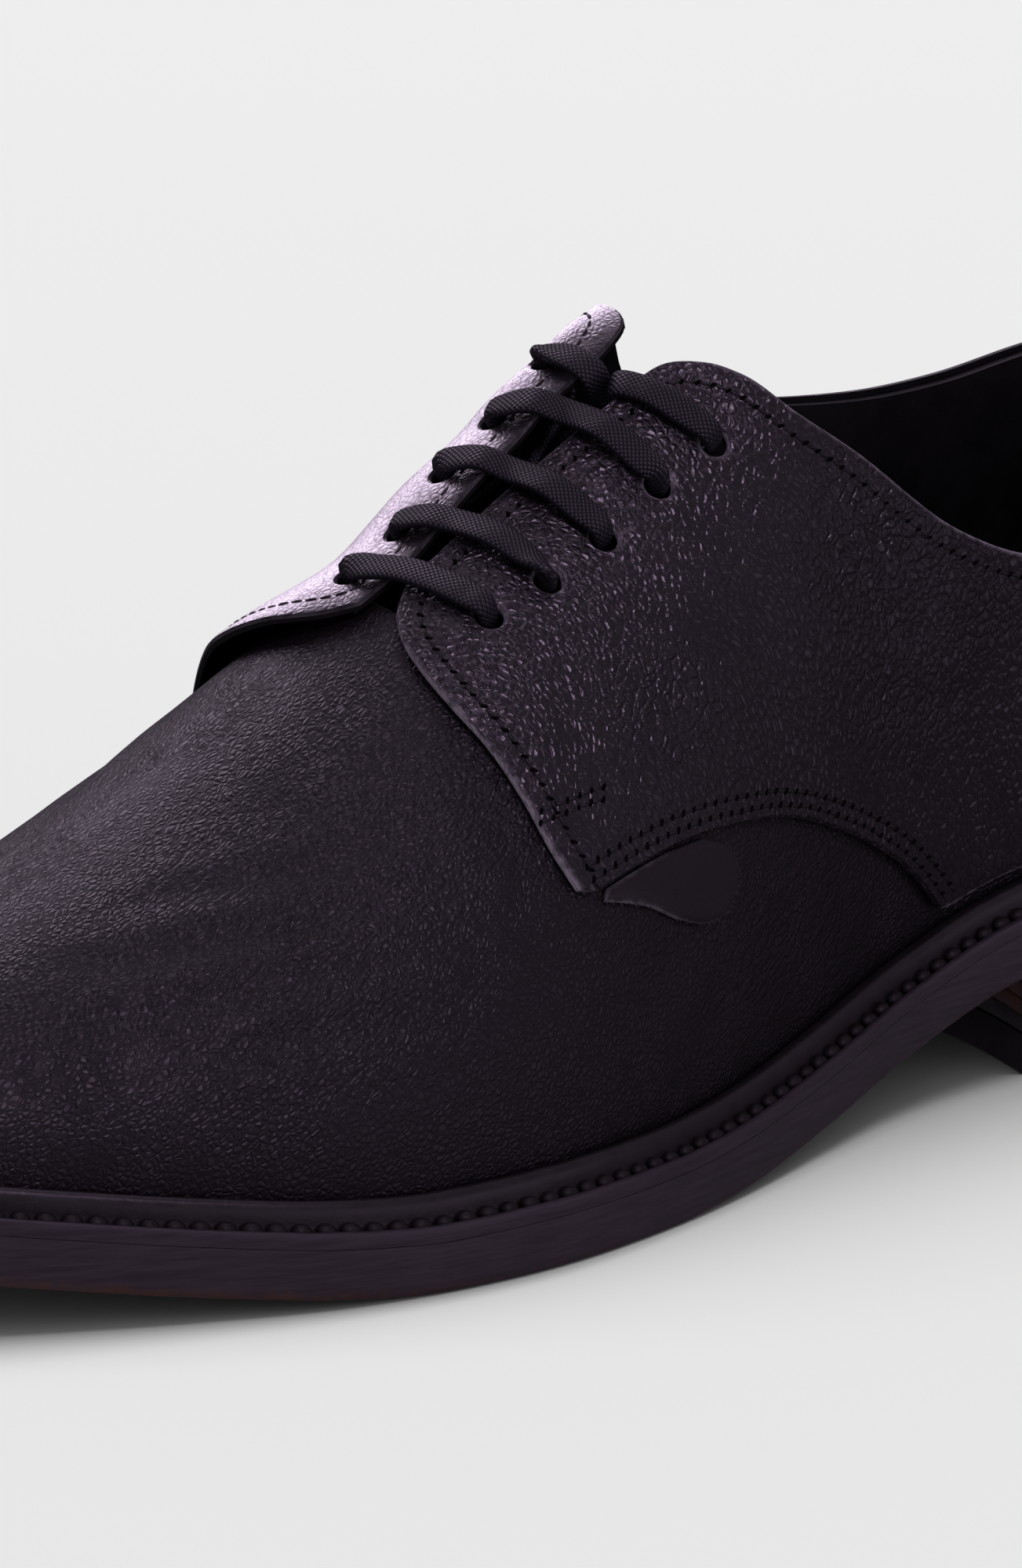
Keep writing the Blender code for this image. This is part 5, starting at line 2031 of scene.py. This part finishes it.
@dataclass
class Sewing(Piece):
    """Everything that repeats along a path: threads, near-black bodies that paint the shade in the
    needle holes, and raw fibres.
    """

    seed: int = 7

    def tree(self) -> bpy.types.NodeTree:
        """Geometry nodes that set a small rounded body on every point of a row.

        Returns:
            The node tree.
        """
        kinds = {"Geometry": GEOMETRY, "Size": VECTOR, "Turn": FLOAT, "Spread": FLOAT}
        kinds |= {"Seed": "NodeSocketInt", "Material": "NodeSocketMaterial"}
        made = {"Geometry": GEOMETRY}
        g, given, end = open_group("GeometryNodeTree", "bodies_on_row", kinds, made)
        ball = g.add("GeometryNodeMeshIcoSphere", {"Radius": 0.5, "Subdivisions": 2})
        body = g.add("GeometryNodeTransform", {"Geometry": ball, "Scale": given["Size"]})
        along, outward = (
            g.add("GeometryNodeInputNamedAttribute", {"Name": name}, data_type="FLOAT_VECTOR")
            for name in ("along", "outward")
        )
        first = g.add("FunctionNodeAlignRotationToVector", {"Vector": along}, axis="X")
        values = {"Vector": outward, "Rotation": first}
        second = g.add("FunctionNodeAlignRotationToVector", values, axis="Z", pivot_axis="X")
        spin = g.add("FunctionNodeRandomValue", {"Seed": given["Seed"]}, data_type="FLOAT_VECTOR")
        for sign, name in ((-1, "Min"), (1, "Max")):
            values = {0: (sign,) * 3, "Scale": given["Turn"]}
            g.join(g.add("ShaderNodeVectorMath", values, operation="SCALE").outputs[0], spin, name)
        jitter = g.add("FunctionNodeEulerToRotation", {"Euler": spin.outputs[0]})
        values = {"Rotation": second, "Rotate By": jitter}
        turned = g.add("FunctionNodeRotateRotation", values, rotation_space="LOCAL")
        least, most = (g.maths(name, 1.0, given["Spread"]) for name in ("SUBTRACT", "ADD"))
        values = {2: least, 3: most, "Seed": given["Seed"]}
        sizes = g.add("FunctionNodeRandomValue", values, data_type="FLOAT")
        values = {"Points": given["Geometry"], "Instance": body, "Rotation": turned}
        placed = g.add("GeometryNodeInstanceOnPoints", {**values, "Scale": sizes.outputs[1]})
        real = g.add("GeometryNodeRealizeInstances", {"Geometry": placed})
        dressed = g.add("GeometryNodeSetMaterial", {"Geometry": real, "Material": given["Material"]})
        g.join(dressed.outputs[0], end, "Geometry")
        return g.tree

    def sow(
        self, name: str, tree: bpy.types.NodeTree, rows: Sequence[Rows], body: Body, slot: Slot
    ) -> None:
        """One plain mesh of bodies along rows.

        Args:
            name: Name of the object.
            tree: Geometry node tree.
            rows: Places of the bodies.
            body: What is set on every place.
            slot: Material slot of the record.
        """
        spots = (np.concatenate([r.spots for r in rows]) - self.last.centre) * MM
        mesh = bpy.data.meshes.new(f"{name}_row")
        mesh.from_pydata(spots.tolist(), [], [])
        for label in ("along", "outward"):
            ways = np.concatenate([getattr(r, label) for r in rows]).astype(np.float32)
            mesh.attributes.new(label, "FLOAT_VECTOR", "POINT").data.foreach_set("vector", ways.ravel())
        row = put(f"{name}_row", mesh)
        modifier = row.modifiers.new("bodies", "NODES")
        modifier.node_group = tree
        values = {**body.inputs(), "Seed": self.seed}
        for item in tree.interface.items_tree:
            if item.in_out == "INPUT" and item.name in values:
                modifier[item.identifier] = values[item.name]
        graph = bpy.context.evaluated_depsgraph_get()
        plain = bpy.data.meshes.new_from_object(row.evaluated_get(graph))
        bpy.data.objects.remove(row)
        plain.name = name
        plain.shade_smooth()
        self.hand_over(put(name, plain), slot)

    def build(self, panels: Sequence[Panels], welt: Welt) -> None:
        """Makes all rows.

        Args:
            panels: Panels of both sides with their seams.
            welt: Welt with its stitch channel.
        """
        tree = self.tree()
        looks = self.looks
        thread = Body((1.75, 0.55, 0.40), 0.05, 0.08, looks.thread)
        # Flat near-black bodies in the needle holes: painted shade.
        needle = Body((1.2, 0.62, 0.36), 0.0, 0.1, looks.needle)
        bold = Body((3.0, 2.3, 2.1), 0.06, 0.07, looks.welt_thread)
        fibre = Body((0.8, 0.05, 0.05), 1.4, 0.5, looks.fibre)
        seams = [row for panel in panels for row in panel.stitches]
        holes = [row for panel in panels for row in panel.holes]
        edges = [row for panel in panels for row in panel.raw_edges]
        self.sow("seam_stitches", tree, seams, thread, Slot.UPPER)
        self.sow("needle_holes", tree, holes, needle, Slot.UPPER)
        self.sow("welt_stitches", tree, [welt.stitch_points()], bold, Slot.WELT)
        self.sow("raw_edge_fibres", tree, edges, fibre, Slot.SMOOTH)


LILAC = (1.0, 0.86, 1.05)


@dataclass(frozen=True)
class Softbox:
    """Area light that points at the shoe."""

    name: str
    place: tuple[float, float, float]
    size: tuple[float, float]
    power: float
    colour: Colour = (1.0, 1.0, 1.0)
    lit: tuple[str, ...] = ()

    def build(self, goal: Vector, pieces: Sequence[bpy.types.Object]) -> None:
        """Makes the light.

        Args:
            goal: Point that it faces.
            pieces: Objects that it lights when it names none.
        """
        group = bpy.data.collections.new(self.name + "_lit")
        for item in [bpy.data.objects[name] for name in self.lit] or pieces:
            group.objects.link(item)
        lamp = bpy.data.lights.new(self.name, "AREA")
        lamp.shape = "RECTANGLE"
        lamp.size, lamp.size_y = self.size
        lamp.energy = self.power
        lamp.color = self.colour
        made = put(self.name, lamp)
        made.location = self.place
        made.rotation_euler = (goal - Vector(self.place)).to_track_quat("-Z", "Y").to_euler()
        made.light_linking.receiver_collection = group
        made.visible_camera = False


@dataclass
class Studio:
    """Pale floor, soft lights and the camera at the photograph's angle."""

    eye: tuple[float, float, float] = (0.687276, 0.823016, 0.34684)
    azimuth: float = 50.488
    elevation: float = 15.619
    roll: float = 0.17
    focal: float = 10208.9
    frame: tuple[int, int] = (1303, 2000)
    sensor: float = 36.0
    floor_grey: float = 0.80
    world: Colour = (0.26, 0.26, 0.26)
    surround_low: Colour = (0.062, 0.054, 0.064)
    surround_high: Colour = (0.190, 0.168, 0.197)
    horizon: tuple[float, float] = (-0.25, 0.60)
    goal: tuple[float, float, float] = (0.0, 0.0, 0.04)
    floor_half: float = 4.0
    lights: tuple[Softbox, ...] = (
        Softbox("floor_light", (-1.7, -2.0, 8.4), (8.0, 8.0), 775.0, lit=("floor",)),
        Softbox("far_side", (-0.6, -1.32, 0.75), (1.4, 1.3), 36.0, LILAC, ("medial_quarter_leather",)),
        Softbox(
            "near_top", (0.25, 0.8, 1.35), (0.5, 0.4), 3.0, LILAC,
            ("lateral_quarter_leather", "waxed_lace_run"),
        ),
        Softbox("sky", (0.1, 0.1, 1.9), (2.0, 2.0), 0.4, LILAC),
        Softbox("top_back", (-0.3, -0.45, 1.7), (0.9, 0.6), 1.9, LILAC),
        Softbox("window", (-0.19, -1.35, 1.02), (1.2, 0.5), 5.8, LILAC),
        Softbox("front_top", (0.4, 0.85, 1.3), (0.5, 0.4), 3.5, LILAC),
        Softbox("low_side", (-0.35, 1.4, 0.24), (1.8, 0.4), 1.3, LILAC),
    )

    def camera(self) -> None:
        """Camera that sees the shoe as the photograph does."""
        az, el, roll = (math.radians(a) for a in (self.azimuth, self.elevation, self.roll))
        back = Vector((math.cos(az) * math.cos(el), math.sin(az) * math.cos(el), math.sin(el)))
        right = Vector((0, 0, 1)).cross(back).normalized()
        up = back.cross(right)
        across = right * math.cos(roll) + up * math.sin(roll)
        above = up * math.cos(roll) - right * math.sin(roll)
        lens = bpy.data.cameras.new("photo_camera")
        lens.sensor_width = self.sensor
        lens.lens = self.focal / max(self.frame) * self.sensor
        made = put("photo_camera", lens)
        turned = Matrix((across, above, back)).transposed().to_4x4()
        made.matrix_world = Matrix.Translation(self.eye) @ turned
        bpy.context.scene.camera = made

    def floor(self) -> None:
        """Plain pale floor."""
        mesh = bpy.data.meshes.new("floor")
        half = self.floor_half
        corners = [(-half, -half, 0), (half, -half, 0), (half, half, 0), (-half, half, 0)]
        mesh.from_pydata(corners, [], [(0, 1, 2, 3)])
        look = bpy.data.materials.new("floor_paper")
        look.use_nodes = True
        shader = look.node_tree.nodes["Principled BSDF"]
        shader.inputs["Base Color"].default_value = (self.floor_grey,) * 3 + (1,)
        shader.inputs["Roughness"].default_value = 1.0
        shader.inputs["Specular IOR Level"].default_value = 0.0
        mesh.materials.append(look)
        made = put("floor", mesh)
        # Glossy rays pass through the floor; the sole edge's colour carries a painted reflection of it.
        made.visible_glossy = False

    def build(self) -> None:
        """Sets up floor, lights, world and camera."""
        scene = bpy.context.scene
        world = bpy.data.worlds.new("studio")
        world.use_nodes = True
        g = Graph(world.node_tree)
        way = g.add("ShaderNodeSeparateXYZ", {0: g.add("ShaderNodeTexCoord").outputs["Generated"]})
        rise = g.ramp(way.outputs["Z"], *self.horizon)
        around = g.mix(rise, (*self.surround_low, 1), (*self.surround_high, 1))
        seen = g.mix(g.add("ShaderNodeLightPath").outputs["Is Glossy Ray"], (*self.world, 1), around)
        g.join(seen, world.node_tree.nodes["Background"], "Color")
        scene.world = world
        scene.view_settings.view_transform = "Standard"
        self.camera()
        pieces = [item for item in scene.objects if item.type == "MESH" and not item.hide_render]
        self.floor()
        for light in self.lights:
            light.build(Vector(self.goal), pieces)


def main() -> None:
    """Builds the shoe on its frame, then the studio."""
    logging.basicConfig(level=logging.INFO, format="%(name)s %(message)s")
    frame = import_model()
    LOG.info("frame with %d nodes", len(frame["nodes"]))
    last, looks = Last(), Looks()
    Bottom(last, looks).build()
    welt = Welt(last, looks)
    welt.build()
    Heel(last, looks).build()
    UpperShell(last, looks).build()
    panels = [Panels(last, looks, side) for side in Side]
    for panel in panels:
        panel.build()
    Tongue(last, looks).build()
    Lace(last, looks).build()
    Sewing(last, looks).build(panels, welt)
    Studio().build()


if __name__ == "__main__":
    main()
